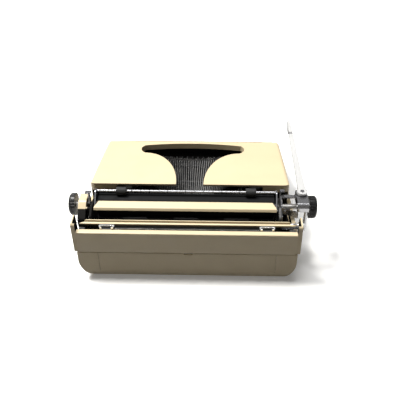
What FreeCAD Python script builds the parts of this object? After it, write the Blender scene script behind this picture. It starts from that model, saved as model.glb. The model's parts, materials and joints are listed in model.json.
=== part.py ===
import FreeCAD, Part
import math
import os

# Portable manual typewriter, millimetres.
# +Z is up, -Y is the front (keyboard), +X is the operator's right.
# The origin is on the table, under the middle of the machine.

V = FreeCAD.Vector
X_AXIS = V(1, 0, 0)
Y_AXIS = V(0, 1, 0)
Z_AXIS = V(0, 0, 1)
ORIGIN = V(0, 0, 0)

# ---------------------------------------------------------------- driving dimensions
# Housing
body_depth = 344.0
side_margin = 25.3            # lower shell's rear half width, beyond the keyboard opening
side_taper = 0.040            # how far each side closes in per millimetre forward
panel_thickness = 5.6         # side panels and their ears
seam = 0.3                    # gap between neighbouring housing pieces
wall = 2.5
foot_height = 2.0
foot_radius = 9.0
parting_z = 49.0              # joint between the lower shell and the upper housing
parting_gap = 0.8
front_lip_z = 18.0            # top of the lower shell at the front
rear_top_z = 83.8
rear_lip_rise = 0.2
rear_lip_depth = 7.5
shell_flare = 2.4             # the lower shell stands this far out below the rear panel
shell_corner = 32.0           # long rounded bottom edges of the lower shell
ear_depth = 23.5
ear_top_z = 99.0
ear_wall = 2.2                # the ears are hollow on their inner side
side_rail_z = 62.0            # top of the side panels in front of the ears
side_front_y = -62.0          # side panels meet the keyboard surround here
surround_front_z = 25.0

# Ribbon cover
cover_rear_y = 73.7
cover_front_y = -68.4
cover_rear_z = 96.8
cover_front_z = 86.1
cover_side_step = 4.0         # the cover's sides stand this far inside the side panels
cover_edge_round = 5.5
cover_front_corner = 18.0     # in plan, at the foot of the front wall
cover_rear_corner = 9.0       # in plan
cover_front_run = 8.0         # how far the front wall leans forward
slot_half_width = 83.0
slot_far_y = -50.0
slot_far_bulge = 8.0
slot_near_y = -23.0
slot_skirt = 9.5              # depth of the wall inside the far side of the slot
neck_half_width = 20.0
rear_wall_half_gap = 107.0    # the cover's rear wall stands only outside this
rear_wall_height = 12.0
hinge_x = 112.0
hinge_pin_radius = 1.0
hinge_knuckle_radius = 2.2

# Platen and carriage
platen_y = 105.0
platen_z = 82.0
platen_radius = 16.5
platen_half_length = 124.5
platen_shaft_radius = 3.9
running_fit = 0.05
knob_radius = 16.2
knob_right_x = (157.5, 166.5)
knob_left_x = (-185.0, -174.0)
carriage_x = 3.5              # the carriage is drawn this far right of the machine's middle
ratchet_teeth = 30
ratchet_radius = 13.0
end_plate_x = 129.5           # inner face of the carriage end plates
end_plate_thickness = 3.0
bed_half_length = 129.2
bed_z = 62.9
bed_thickness = 2.0
bed_front_y = 86.0
bed_rear_y = 141.0
feed_roller_radius = 3.5
feed_roller_gap = 0.2
feed_roller_angle = 40.0      # below the horizontal through the platen's centre
bail_rod_y = 103.0
bail_rod_z = 104.5
bail_rod_radius = 2.0
bail_pivot_y = 121.0
bail_pivot_z = 86.0
bail_roller_x = 91.2
bail_roller_length = 14.5
paper_table_top_y = 122.0
paper_table_rear_y = 135.1
paper_table_z = 100.7
paper_table_half = 126.0
paper_table_end_slant = 5.5
lever_pivot_x = -161.5
lever_pivot_y = 112.0
lever_pivot_z = 112.6
lever_pin_radius = 2.5
lever_tip_x = -156.5
lever_tip_y = -58.0
lever_tip_z = 130.0
release_bar_y = 134.0
release_bar_z = 72.0
selector_pivot = (90.2, 77.5)         # line spacing lever, y and z
paper_release_pivot = (114.0, 91.5)   # paper release lever, y and z

# Frame and rails
chassis_gap = 3.25            # chassis plates, from the outermost key lever's lane
chassis_thickness = 2.0
tie_bar_radius = 3.0
rest_tie_y = -30.0
rest_tie_z = 29.0
guide_tie_y = 76.0
guide_tie_z = 30.0
rear_tie_y = 139.0
rear_tie_z = 15.0
drum_x = 92.0
drum_y = 118.0
escapement_radius = 12.0
rail_front_y = 90.0
rail_rear_y = 131.0
rail_width = 6.0
rail_height = 6.0
rail_overhang = 15.0          # carriage rails, beyond the chassis plates
margin_rail_inset = 11.5      # margin rail, from the rear face
margin_rail_z = 76.0
margin_rail_width = 3.0
margin_stop_x = 108.6
deck_strip_gap = 1.9          # each end of the deck strip, from the lower shell's side
deck_strip_z = 84.5
deck_strip_inset = 25.0       # front of the deck strip, from the rear face
deck_strip_depth = 5.0
deck_upstand = 2.9

# Type basket: the typebars swing to one print point on the front of the platen
print_gap = 0.5
basket_tilt = 51.3            # slope of the basket's middle bar radius, degrees below horizontal
pivot_radius = 80.6           # fulcrum wire, from the basket's axis
pivot_lead = 19.2             # fulcrum wire, ahead of the print point along the axis
typebar_swing = 121.7
typebar_count = 43
typebar_pitch = 2.11          # degrees between neighbouring typebars
typebar_thickness = 1.2
typebar_hub = 4.0
wire_radius = 1.0
slug_width = 3.0
slug_height = 10.0
slug_depth = 3.0
slot_clearance = 0.15         # each side of a typebar in its segment slot

# Ribbon
spool_x = 100.0
spool_y = 20.0
spool_radius = 20.0
spool_z = 61.0
spool_height = 15.0
spool_post_radius = 3.0
ribbon_z = 62.0
ribbon_width = 13.0
ribbon_thickness = 0.4
ribbon_y = 83.6

# Keyboard
fulcrum_y = 58.0
fulcrum_z = 14.0
fulcrum_radius = 2.5
key_pitch = 19.0
key_row_pitch = 18.5
first_row_y = -90.0
first_row_z = 58.0
row_step_z = 8.0
cap_size = 13.5
cap_height = 7.0
cap_draft = 1.2               # each side leans in by this much
lever_thickness = 1.5
lever_height = 5.0
key_lever_z = 22.0
keyboard_margin = 19.5        # opening in the surround, beyond the number row's outer key centres
space_bar_overhang = 2.75     # each end of the space bar, beyond its lever
space_bar_y = -161.5
space_bar_z = 27.0
space_bar_depth = 9.5
space_bar_lane = 9.5          # lane of each of its two levers, counted from the middle
shift_left_width = 22.0
shift_right_width = 18.0
shift_lock_width = 15.0
margin_release_width = 11.0
outer_lane = 25               # lane of the outermost lever, counted from the middle
selector_inset = 4.5          # colour selector, from the opening's right side
selector_z = 34.0
row_lengths = (11, 11, 11, 10)
row_lanes = (0, 2, 3, 5)      # stagger of each row, in lever lanes
row_names = ("keys_number_row", "keys_upper_row", "keys_home_row", "keys_bottom_row")
carriage_nodes = (
    "carriage_bed", "carriage_end_left", "carriage_end_right", "paper_table", "escapement_rack",
    "platen_roller", "platen_shaft", "platen_knobs", "ratchet_wheel",
    "feed_roller_front", "feed_roller_rear", "paper_bail", "bail_rollers",
    "return_lever_bracket", "return_lever", "line_space_selector",
    "carriage_release", "paper_release_lever",
)
home_row = 2
key_g_index = 4
key_h_index = 5

lever_lane = key_pitch / 4
keyboard_opening_half = key_pitch * row_lengths[0] / 2 + keyboard_margin
rear_half_width = keyboard_opening_half + side_margin
deck_strip_half = rear_half_width - deck_strip_gap
chassis_x = outer_lane * lever_lane + chassis_gap
rail_half_length = chassis_x + chassis_thickness + rail_overhang
selector_x = keyboard_opening_half - selector_inset
rear_y = body_depth / 2
front_y = -body_depth / 2
margin_rail_y = rear_y - margin_rail_inset
outline_middle_x = (knob_left_x[0] + knob_right_x[1]) / 2 + carriage_x
platen_front_y = platen_y - platen_radius
PRINT_POINT = V(0, platen_front_y, platen_z)


# ---------------------------------------------------------------- helpers
def on_x(x):
    """Plane across the machine at x: outline points are (y, z)."""
    return lambda u, v: V(x, u, v)


def on_y(y):
    """Plane along the machine at y: outline points are (x, z)."""
    return lambda u, v: V(u, y, v)


def on_z(z):
    """Level plane at z: outline points are (x, y)."""
    return lambda u, v: V(u, v, z)


def rounded_corner(before, corner, after, radius):
    """Start, middle and end of the arc that rounds one corner of an outline."""
    to_before = (before - corner).normalize()
    to_after = (after - corner).normalize()
    half = to_before.getAngle(to_after) / 2
    reach = radius / math.tan(half)
    inward = (to_before + to_after).normalize()
    middle = corner + inward * (radius / math.sin(half) - radius)
    return corner + to_before * reach, middle, corner + to_after * reach


def outline(points, plane):
    """Closed wire through (u, v) or (u, v, corner radius) points."""
    places = [plane(p[0], p[1]) for p in points]
    radii = [p[2] if len(p) > 2 else 0 for p in points]
    corners = []
    for i, place in enumerate(places):
        if radii[i]:
            after = places[(i + 1) % len(places)]
            corners.append(rounded_corner(places[i - 1], place, after, radii[i]))
        else:
            corners.append((place, None, place))
    edges = []
    for i, (start, middle, end) in enumerate(corners):
        if middle is not None:
            edges.append(Part.Arc(start, middle, end).toShape())
        following = corners[(i + 1) % len(corners)][0]
        if end.distanceToPoint(following) > 1e-6:
            edges.append(Part.LineSegment(end, following).toShape())
    return Part.Wire(edges)


def rounded_rectangle(u0, u1, v0, v1, radius):
    """Outline points of a rectangle with rounded corners."""
    return [(u0, v0, radius), (u1, v0, radius), (u1, v1, radius), (u0, v1, radius)]


def prism_x(points, x0, x1):
    return Part.Face(outline(points, on_x(x0))).extrude(V(x1 - x0, 0, 0))


def prism_y(points, y0, y1):
    return Part.Face(outline(points, on_y(y0))).extrude(V(0, y1 - y0, 0))


def prism_z(points, z0, z1):
    return Part.Face(outline(points, on_z(z0))).extrude(V(0, 0, z1 - z0))


def box(x0, x1, y0, y1, z0, z1):
    return Part.makeBox(x1 - x0, y1 - y0, z1 - z0, V(x0, y0, z0))


def rod_x(y, z, radius, x0, x1):
    return Part.makeCylinder(radius, x1 - x0, V(x0, y, z), X_AXIS)


def rod_y(x, z, radius, y0, y1):
    return Part.makeCylinder(radius, y1 - y0, V(x, y0, z), Y_AXIS)


def rod_z(x, y, radius, z0, z1):
    return Part.makeCylinder(radius, z1 - z0, V(x, y, z0), Z_AXIS)


def fuse(pieces):
    return pieces[0].fuse(pieces[1:]).removeSplitter()


def mirrored(shape):
    """The same piece on the other side of the machine's middle plane."""
    return shape.mirror(ORIGIN, X_AXIS)


def turned(shape, centre, axis, degrees):
    copy = shape.copy()
    copy.rotate(centre, axis, degrees)
    return copy


def side_x(y):
    """Outer face of the side panels at depth y."""
    return rear_half_width + seam + panel_thickness - (rear_y - y) * side_taper


def shell_half(y):
    """Half width of the lower shell at depth y."""
    return side_x(y) - panel_thickness - seam


def cover_half(y):
    """Half width of the ribbon cover at depth y."""
    return side_x(y) - cover_side_step


def cover_top_z(y):
    """Height of the ribbon cover's top face at depth y."""
    slope = (cover_rear_z - cover_front_z) / (cover_rear_y - cover_front_y)
    return cover_front_z + (y - cover_front_y) * slope


def plan_band(half_at, y0, y1, inset, z0, z1):
    """A level block whose sides follow the tapered plan of the machine."""
    points = [
        (-half_at(y1) + inset, y1),
        (half_at(y1) - inset, y1),
        (half_at(y0) - inset, y0),
        (-half_at(y0) + inset, y0),
    ]
    return prism_z(points, z0, z1)


# ---------------------------------------------------------------- housing
def tub(inset, above):
    """The lower shell's outer form, or its hollow when inset by the wall."""
    floor = foot_height + inset
    front = front_y + inset
    rear = rear_y - inset
    corner = shell_corner - inset
    half = rear_half_width + shell_flare - inset
    top = parting_z + above
    side_view = [
        (rear, top),
        (rear, floor, 12.0 - inset),
        (front, floor, 9.0 - inset),
        (front, front_lip_z + above),
        (side_front_y, parting_z + above),
    ]
    end_view = [(-half, top), (-half, floor, corner), (half, floor, corner), (half, top)]
    plan = plan_band(shell_half, front, rear, inset - shell_flare, floor - 1, top + 1)
    body = prism_x(side_view, -half - 1, half + 1)
    return body.common(prism_y(end_view, front - 1, rear + 1)).common(plan)


def base_shell():
    shell = tub(0, 0).cut(tub(wall, 60.0))
    seam_x = 122.5
    seam_width = 0.7
    groove_depth = 0.6
    for x in (-seam_x, seam_x):
        x0 = x - seam_width / 2
        groove = box(x0, x0 + seam_width, rear_y - groove_depth, rear_y + 1, 16, parting_z + 1)
        shell = shell.cut(groove)
    latch_notch = box(-8, 4, rear_y - wall - 1, rear_y + 1, parting_z - 2.2, parting_z + 1)
    shell = shell.cut(latch_notch)
    for x, y in foot_places():
        shell = shell.cut(rod_z(x, y, 2.0, 0, foot_height + wall + 1))
    selector_pin = rod_x(selector_y(), selector_z, 1.5, selector_x - 1.5, side_x(selector_y()) - 1)
    return shell.fuse(selector_pin)


def foot_places():
    inset_x = shell_corner + foot_radius + 0.5
    inset_y = 30.0
    places = []
    for y in (rear_y - inset_y, front_y + inset_y):
        reach = shell_half(y) - inset_x
        places.append((reach, y))
        places.append((-reach, y))
    return places


def rubber_feet():
    feet = []
    for x, y in foot_places():
        pad = Part.makeCone(foot_radius - 1.5, foot_radius, foot_height, V(x, y, 0), Z_AXIS)
        stem = rod_z(x, y, 2.0 - running_fit, foot_height, foot_height + wall + 1.5)
        feet.append(fuse([pad, stem]))
    return Part.makeCompound(feet)


def rear_panel():
    top = rear_top_z
    lip_y = rear_y - rear_lip_depth
    profile = [
        (rear_y, parting_z + parting_gap),
        (rear_y, top, 1.8),
        (lip_y, top + rear_lip_rise),
        (lip_y, top + rear_lip_rise - wall),
        (rear_y - wall, top - wall),
        (rear_y - wall, parting_z + parting_gap),
    ]
    panel = prism_x(profile, -rear_half_width, rear_half_width)
    return panel.common(plan_band(shell_half, lip_y - 1, rear_y, 0, 0, 120))


def side_panel_right():
    ear_front = rear_y - 1.5 - ear_depth
    profile = [
        (rear_y - 1.5, parting_z + parting_gap),
        (rear_y - 1.5, ear_top_z - 2, 5.0),
        (ear_front + 3, ear_top_z + 1, 5.0),
        (ear_front, side_rail_z, 4.0),
        (side_front_y + seam, side_rail_z),
        (side_front_y + seam, parting_z + parting_gap),
    ]
    slab = prism_x(profile, 100, 200)
    outer = plan_band(side_x, side_front_y - 10, rear_y, 0, 0, 120)
    inner = plan_band(side_x, side_front_y - 11, rear_y + 1, panel_thickness, -1, 121)
    hollow = plan_band(side_x, ear_front - 5, rear_y - 1.5 - ear_wall, ear_wall, side_rail_z + 6, 121)
    return slab.common(outer).cut(inner).cut(hollow)


def rear_deck_strip():
    """Ledge between the ears, with a low upstand along its front edge."""
    front = rear_y - deck_strip_inset
    rear = front + deck_strip_depth
    z = deck_strip_z
    profile = [
        (front, z - 6),
        (front, z + deck_upstand),
        (front + 1.4, z + deck_upstand),
        (front + 1.4, z),
        (rear, z - 0.5),
        (rear, z - 2),
        (front + 1.4, z - 1.8),
        (front + 1.4, z - 6),
    ]
    strip = prism_x(profile, -deck_strip_half, deck_strip_half)
    plan = [
        (-deck_strip_half + 12, front - 1),
        (deck_strip_half - 12, front - 1),
        (deck_strip_half, front + 4),
        (deck_strip_half, rear + 1),
        (-deck_strip_half, rear + 1),
        (-deck_strip_half, front + 4),
    ]
    return strip.common(prism_z(plan, z - 10, z + 10))


def rail_end_blocks():
    rear = rear_y - wall - seam
    right = box(deck_strip_half - 7.9, deck_strip_half, margin_rail_y - 4, rear, parting_z + 2,
                rear_top_z - wall - seam)
    half = margin_rail_width / 2 + running_fit
    slot = box(deck_strip_half - 8.4, deck_strip_half - 1.4, margin_rail_y - half, margin_rail_y + half,
               margin_rail_z - running_fit, margin_rail_z + margin_rail_width + running_fit)
    right = right.cut(slot)
    return Part.makeCompound([right, mirrored(right)])


def margin_rail():
    half = deck_strip_half - 3.4
    y0 = margin_rail_y - margin_rail_width / 2
    return box(-half, half, y0, y0 + margin_rail_width, margin_rail_z, margin_rail_z + margin_rail_width)


def margin_stop_right():
    """Sprung clip that hugs the margin rail, with a finger loop above it."""
    x = margin_stop_x
    y = margin_rail_y
    z = margin_rail_z
    hug = 0.3
    half = margin_rail_width / 2
    body = box(x - 6, x + 6, y - half - 1.5, y + half + 1.5, z - 2, z + margin_rail_width + 3)
    body = body.cut(box(x - 7, x + 7, y - half - hug, y + half + hug, z - hug, z + margin_rail_width + hug))
    loop = [
        (x - 11.2, y - 2.5, 2.0),
        (x + 11.2, y - 2.5, 2.0),
        (x + 9.4, y + 3.6, 2.0),
        (x - 9.4, y + 3.6, 2.0),
    ]
    hole = [
        (x - 9.2, y - 0.9, 0.6),
        (x + 9.2, y - 0.9, 0.6),
        (x + 7.8, y + 2.2, 0.6),
        (x - 7.8, y + 2.2, 0.6),
    ]
    collar = prism_z(loop, z + 6, z + 11.5).cut(prism_z(hole, z + 7.5, z + 12))
    collar = collar.cut(box(x - 6.5, x + 6.5, y, y + 5, z + 7.5, z + 12))
    return fuse([body, collar])


def surround_block(inset):
    """Outer form of the keyboard surround, or its hollow when inset."""
    top_gap = 0.5
    profile = [
        (side_front_y - seam, parting_z + seam - inset * 3),
        (front_y + inset, front_lip_z + seam - inset * 3),
        (front_y + inset, surround_front_z - inset, max(4.0 - inset, 0.5)),
        (cover_front_y - cover_front_run - 1, side_rail_z - top_gap - inset),
        (side_front_y - seam, side_rail_z - top_gap - inset),
    ]
    slab = prism_x(profile, -200, 200)
    return slab.common(plan_band(side_x, front_y - 1, rear_y, inset, -50, 150))


def keyboard_surround():
    shell = surround_block(0).cut(surround_block(wall))
    half = keyboard_opening_half
    well = [
        (-half, front_y + 4.5, 4.0),
        (half, front_y + 4.5, 4.0),
        (half, first_row_y + cap_size / 2 + 3, 4.0),
        (-half, first_row_y + cap_size / 2 + 3, 4.0),
    ]
    shell = shell.cut(prism_z(well, 0, 90))
    gap_behind = box(-half - 5, half + 5, side_front_y - 12, side_front_y + 1, 0, side_rail_z - wall - 0.4)
    shell = shell.cut(gap_behind)
    for x in (-hinge_x, hinge_x):
        shell = shell.cut(box(x - 2.6, x + 2.6, hinge_y() - 3, hinge_y() + 4, 40, 90))
        for ear_x in (x - 3.8, x + 2.3):
            shell = shell.fuse(hinge_ear(ear_x))
        shell = shell.fuse(rod_x(hinge_y(), hinge_z(), hinge_pin_radius, x - 3.5, x + 3.5))
    return shell.removeSplitter()


def hinge_ear(x):
    """Small ear on the surround's rear edge that holds one end of a hinge pin."""
    y = hinge_y()
    z = hinge_z()
    low = side_rail_z - 2.5
    profile = [
        (y - 2, low),
        (y - 2, z + 1.8, 1.5),
        (y + 1.9, z + 1.8, 1.5),
        (y + 1.9, low),
    ]
    return prism_x(profile, x, x + 1.5)


def cover_form(inset):
    """The cover's outer form, or its hollow when inset by the wall."""
    bottom = side_rail_z + seam - inset * 2
    front = cover_front_y
    foot = front - cover_front_run + inset
    crown = 1.2
    profile = [
        (cover_rear_y + inset, bottom),
        (cover_rear_y + inset, cover_top_z(cover_rear_y) - inset),
        (0, cover_top_z(0) + crown - inset, 900.0),
        (front + inset * 0.6, cover_top_z(front) - inset, 7.0),
        (foot, bottom),
    ]
    slab = prism_x(profile, -200, 200)
    plan = plan_band(cover_half, foot - 20, cover_rear_y + inset, inset, 0, 150)
    form = slab.common(plan)
    long_edges = []
    for edge in form.Edges:
        middle = edge.BoundBox.Center
        runs_back = edge.BoundBox.YLength > 40
        if runs_back and middle.z > cover_front_z - inset - 5:
            long_edges.append(edge)
    form = form.makeFillet(cover_edge_round - inset, long_edges)
    rear = cover_rear_y + inset
    rounded_plan = [
        (-cover_half(rear) + inset, rear, cover_rear_corner - inset),
        (cover_half(rear) - inset, rear, cover_rear_corner - inset),
        (cover_half(foot) - inset, foot, cover_front_corner - inset),
        (-cover_half(foot) + inset, foot, cover_front_corner - inset),
    ]
    return form.common(prism_z(rounded_plan, 0, 150))


def slot_outline(inset):
    """Plan of the type basket opening: a wide slot with flared sides down to a neck."""
    half = slot_half_width - inset
    far = slot_far_y + inset
    near = slot_near_y - inset
    neck = neck_half_width - inset
    end_y = cover_rear_y + 30
    lobe_y = cover_rear_y
    far_middle = V(0, far - slot_far_bulge, 0)
    far_right = V(half - 5, far, 0)
    far_left = V(-half + 5, far, 0)
    edges = [Part.Arc(far_left, far_middle, far_right).toShape()]

    def lobe_point(sign, degrees):
        angle = math.radians(degrees)
        reach = half - 8 - neck
        x = half - 8 - reach * math.cos(angle)
        y = lobe_y - (lobe_y - near) * math.sin(angle)
        return V(sign * x, y, 0)

    end_mid = V(half, (far + near) / 2, 0)
    right_end = Part.Arc(far_right, end_mid, lobe_point(1, 90)).toShape()
    left_end = Part.Arc(lobe_point(-1, 90), V(-end_mid.x, end_mid.y, 0), far_left).toShape()
    flare = Part.BSplineCurve()
    flare.interpolate([lobe_point(1, d) for d in range(90, -1, -15)])
    left_flare = Part.BSplineCurve()
    left_flare.interpolate([lobe_point(-1, d) for d in range(0, 91, 15)])
    neck_right = V(neck, end_y, 0)
    neck_left = V(-neck, end_y, 0)
    edges += [
        right_end,
        flare.toShape(),
        Part.LineSegment(lobe_point(1, 0), neck_right).toShape(),
        Part.LineSegment(neck_right, neck_left).toShape(),
        Part.LineSegment(neck_left, lobe_point(-1, 0)).toShape(),
        left_flare.toShape(),
        left_end,
    ]
    return Part.Wire(edges)


def ribbon_cover():
    outer = cover_form(0)
    shell = outer.cut(cover_form(wall))
    rear_wall_z = cover_rear_z - rear_wall_height
    rear_wall = plan_band(cover_half, cover_rear_y - wall, cover_rear_y, 0, rear_wall_z, 150)
    rear_wall = rear_wall.common(outer)
    rear_wall = rear_wall.cut(box(-rear_wall_half_gap, rear_wall_half_gap, 0, 200, 0, 200))
    shell = shell.fuse(rear_wall)
    opening = Part.Face(slot_outline(0)).extrude(V(0, 0, 200))
    opening_inner = Part.Face(slot_outline(-2.0)).extrude(V(0, 0, 200))
    skirt = opening_inner.cut(opening)
    far_half = box(-200, 200, -200, (slot_far_y + slot_near_y) / 2, 0, 200)
    lowered = outer.copy()
    lowered.translate(V(0, 0, -slot_skirt))
    skirt = skirt.common(far_half).common(outer).cut(lowered)
    shell = shell.fuse(skirt).cut(opening).removeSplitter()
    knuckles = []
    notches = []
    for x in (-hinge_x, hinge_x):
        knuckles.append(rod_x(hinge_y(), hinge_z(), hinge_knuckle_radius, x - 2, x + 2))
        for ear_x in (x - 3.0, x + 3.0):
            notches.append(box(ear_x - 1.05, ear_x + 1.05, hinge_y() - 3, hinge_y() + 2.4, 60, 66))
    shell = shell.cut(notches).fuse(knuckles).removeSplitter()
    return shell.cut(rod_x(hinge_y(), hinge_z(), hinge_pin_radius + running_fit, -150, 150))


def hinge_y():
    """The cover turns about its front foot."""
    return cover_front_y - cover_front_run - 0.6


def hinge_z():
    return side_rail_z + 1.2


def housing_screws():
    """Four recessed screws that hold the lower shell to the chassis."""
    screws = []
    for x, y in foot_places():
        sign = 1 if x > 0 else -1
        sx = x - sign * 22
        head = Part.makeCone(3.2, 3.6, 1.6, V(sx, y, foot_height - 1.6), Z_AXIS)
        head = head.cut(box(sx - 3, sx + 3, y - 0.4, y + 0.4, foot_height - 1.7, foot_height - 0.8))
        screws.append(head)
    return Part.makeCompound(screws)


# ---------------------------------------------------------------- frame and rails


def chassis_frame():
    profile = [
        (-56, 10, 5),
        (150, 10, 5),
        (150, rail_top() - 0.5, 3),
        (84, rail_top() - 0.5, 3),
        (70, 52, 6),
        (0, 50, 8),
        (-56, 24, 5),
    ]
    plate = prism_x(profile, chassis_x, chassis_x + chassis_thickness)
    cut_x0 = chassis_x - 1
    cut_x1 = chassis_x + chassis_thickness + 1
    for y in (5, 110):
        window = rounded_rectangle(y - 22, y + 22, 17, 34, 5)
        plate = plate.cut(prism_x(window, cut_x0, cut_x1))
    for y in (rail_front_y, rail_rear_y):
        half = rail_width / 2 + running_fit
        bottom = rail_top() - rail_height - running_fit
        plate = plate.cut(box(cut_x0, cut_x1, y - half, y + half, bottom, rail_top() + 1))
    plate = plate.cut(rod_x(fulcrum_y, fulcrum_z, fulcrum_radius + running_fit, cut_x0, cut_x1))
    pad_x = chassis_x - 18
    for y in (0, 130):
        tab = box(pad_x - 4, chassis_x + chassis_thickness, y - 5, y + 5, 8.4, 10.4)
        pad = rod_z(pad_x, y, 4, foot_height + wall, 8.6)
        plate = fuse([plate, tab, pad])
    pieces = [plate, mirrored(plate)]
    for y, z in ((rest_tie_y, rest_tie_z), (rear_tie_y, rear_tie_z), (guide_tie_y, guide_tie_z)):
        pieces.append(rod_x(y, z, tie_bar_radius, -chassis_x, chassis_x))
    pieces.append(escapement_bracket())
    pieces.append(rod_z(drum_x, drum_y, 2.0, foot_height + wall, 45))
    return Part.makeCompound(pieces)


def escapement_bracket():
    """Upright on the rear tie bar that carries the escapement wheel's shaft."""
    plate = box(-8, 8, rear_tie_y - 0.8, rear_tie_y + 0.8, rear_tie_z, 56)
    plate = plate.cut(rod_x(rear_tie_y, rear_tie_z, tie_bar_radius, -9, 9))
    return plate.cut(rod_y(0, escapement_z(), 2.0 + running_fit, 130, 150))


def escapement_z():
    return bed_z - 0.6 - escapement_radius


def rail_top():
    return bed_z - 0.4


def carriage_rails():
    rails = []
    for y in (rail_front_y, rail_rear_y):
        bar = box(-rail_half_length, rail_half_length, y - rail_width / 2, y + rail_width / 2,
                  rail_top() - rail_height, rail_top())
        groove = prism_x([(y - 1.5, rail_top() + 1), (y + 1.5, rail_top() + 1), (y, rail_top() - 1.5)],
                         -rail_half_length - 1, rail_half_length + 1)
        rails.append(bar.cut(groove))
    return Part.makeCompound(rails)


def escapement_wheel():
    y = bed_rear_y + 2.0
    wheel = toothed_disc(escapement_radius, 1.6, 24)
    wheel.rotate(ORIGIN, X_AXIS, -90)
    wheel.translate(V(0, y - 1.2, escapement_z()))
    shaft = rod_y(0, escapement_z(), 2.0, y - 6, y + 2)
    return fuse([wheel, shaft])


def toothed_disc(radius, tooth, count, thickness=2.4):
    """Flat wheel in the XY plane with saw teeth around it."""
    points = []
    for i in range(count):
        angle = 2 * math.pi * i / count
        later = 2 * math.pi * (i + 0.75) / count
        points.append(V((radius - tooth) * math.cos(angle), (radius - tooth) * math.sin(angle), 0))
        points.append(V(radius * math.cos(later), radius * math.sin(later), 0))
    points.append(points[0])
    return Part.Face(Part.makePolygon(points)).extrude(V(0, 0, thickness))


def mainspring_drum():
    x, y = drum_x, drum_y
    radius = 20.0
    drum = rod_z(x, y, radius, 30, 42)
    groove = rod_z(x, y, radius + 1, 33, 39).cut(rod_z(x, y, radius - 1.5, 32, 40))
    hub = rod_z(x, y, 4.0, 24, 44)
    return fuse([drum.cut(groove), hub]).cut(rod_z(x, y, 2.0 + running_fit, 20, 50))


def bell():
    centre = V(-92, 118, 26)
    outer = Part.makeSphere(17, centre, Z_AXIS, 0, 90, 360)
    inner = Part.makeSphere(15.5, centre, Z_AXIS, 0, 90, 360)
    stud = rod_z(centre.x, centre.y, 2.5, foot_height + wall, centre.z + 19)
    return fuse([outer.cut(inner), stud])


# ---------------------------------------------------------------- type basket
def basket_axis():
    tilt = math.radians(basket_tilt)
    return V(0, math.sin(tilt), -math.cos(tilt))


def basket_radial():
    tilt = math.radians(basket_tilt)
    return V(0, -math.cos(tilt), -math.sin(tilt))


def pivot_point():
    """Fulcrum of the middle typebar."""
    return PRINT_POINT + basket_radial() * pivot_radius - basket_axis() * pivot_lead


def basket_point(out, ahead):
    """Point in the middle plane, from the middle fulcrum, outwards and ahead."""
    return pivot_point() + basket_radial() * out - basket_axis() * ahead


def fan_angles():
    half = (typebar_count - 1) / 2
    return [(i - half) * typebar_pitch for i in range(typebar_count)]


def around_basket(profile, extra):
    """Sweep a profile in the middle plane around the basket's axis, past the last bars by extra."""
    half = (typebar_count - 1) / 2 * typebar_pitch + extra
    profile.rotate(PRINT_POINT, basket_axis(), -half)
    return profile.revolve(PRINT_POINT, basket_axis(), 2 * half)


def basket_polygon(points):
    places = [basket_point(out, ahead) for out, ahead in points]
    return Part.Face(Part.makePolygon(places + [places[0]]))


def wire_ring(radius, extra):
    circle = Part.Circle(pivot_point(), X_AXIS, radius).toShape()
    return around_basket(Part.Face(Part.Wire([circle])), extra)


def type_segment():
    block = around_basket(basket_polygon([(-5, 4), (-5, -8.5), (8.5, -8.5), (8.5, 4)]), 2.5)
    for x0, x1 in ((57.5, chassis_x), (-chassis_x, -57.5)):
        block = block.fuse(box(x0, x1, 38, 46, 43, 49))
    slot_half = typebar_thickness / 2 + slot_clearance
    deep = typebar_hub + 0.6
    slot = basket_polygon([(-30, 30), (-30, -deep), (deep, -deep), (deep, 30)])
    slot.translate(V(-slot_half, 0, 0))
    slot = slot.extrude(V(2 * slot_half, 0, 0))
    slots = [turned(slot, PRINT_POINT, basket_axis(), angle) for angle in fan_angles()]
    return block.cut(Part.makeCompound(slots)).cut(wire_ring(wire_radius + running_fit, 4.0))


def typebar_wire():
    return wire_ring(wire_radius, 2.6)


def typebar(fan):
    """One typebar, drawn as it strikes, then laid back to rest and fanned round."""
    pivot = pivot_point()
    along = (PRINT_POINT - pivot).normalize()
    across = V(0, -along.z, along.y)
    face_y = platen_front_y - print_gap
    arm_end = PRINT_POINT - along * (slug_depth + 1.0)
    root_half = 3.0
    tip_half = 1.7
    half = typebar_thickness / 2
    corners = [
        pivot + across * root_half,
        arm_end + across * tip_half,
        arm_end - across * tip_half,
        pivot - across * root_half,
    ]
    arm = Part.Face(Part.makePolygon(corners + [corners[0]]))
    arm.translate(V(-half, 0, 0))
    arm = arm.extrude(V(2 * half, 0, 0))
    hub = rod_x(pivot.y, pivot.z, typebar_hub, -half, half)
    low = platen_z - slug_height / 2
    slug = box(-slug_width / 2, slug_width / 2, face_y - slug_depth, face_y, low, low + slug_height)
    waist = box(-2, 2, face_y - 0.8, face_y + 1, platen_z - 0.6, platen_z + 0.6)
    bar = fuse([arm, hub, slug.cut(waist)])
    bar = bar.cut(rod_x(pivot.y, pivot.z, wire_radius + running_fit, -3, 3))
    bar = turned(bar, pivot, X_AXIS, typebar_swing)
    return turned(bar, PRINT_POINT, basket_axis(), fan)


def typebars():
    """All the typebars but the two middle ones, which are nodes of their own."""
    own = (middle_bar(), middle_bar() + 1)
    return Part.makeCompound([typebar(a) for i, a in enumerate(fan_angles()) if i not in own])


def middle_bar():
    return (typebar_count - 1) // 2


def typebar_g():
    return typebar(fan_angles()[middle_bar()])


def typebar_h():
    return typebar(fan_angles()[middle_bar() + 1])


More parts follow.
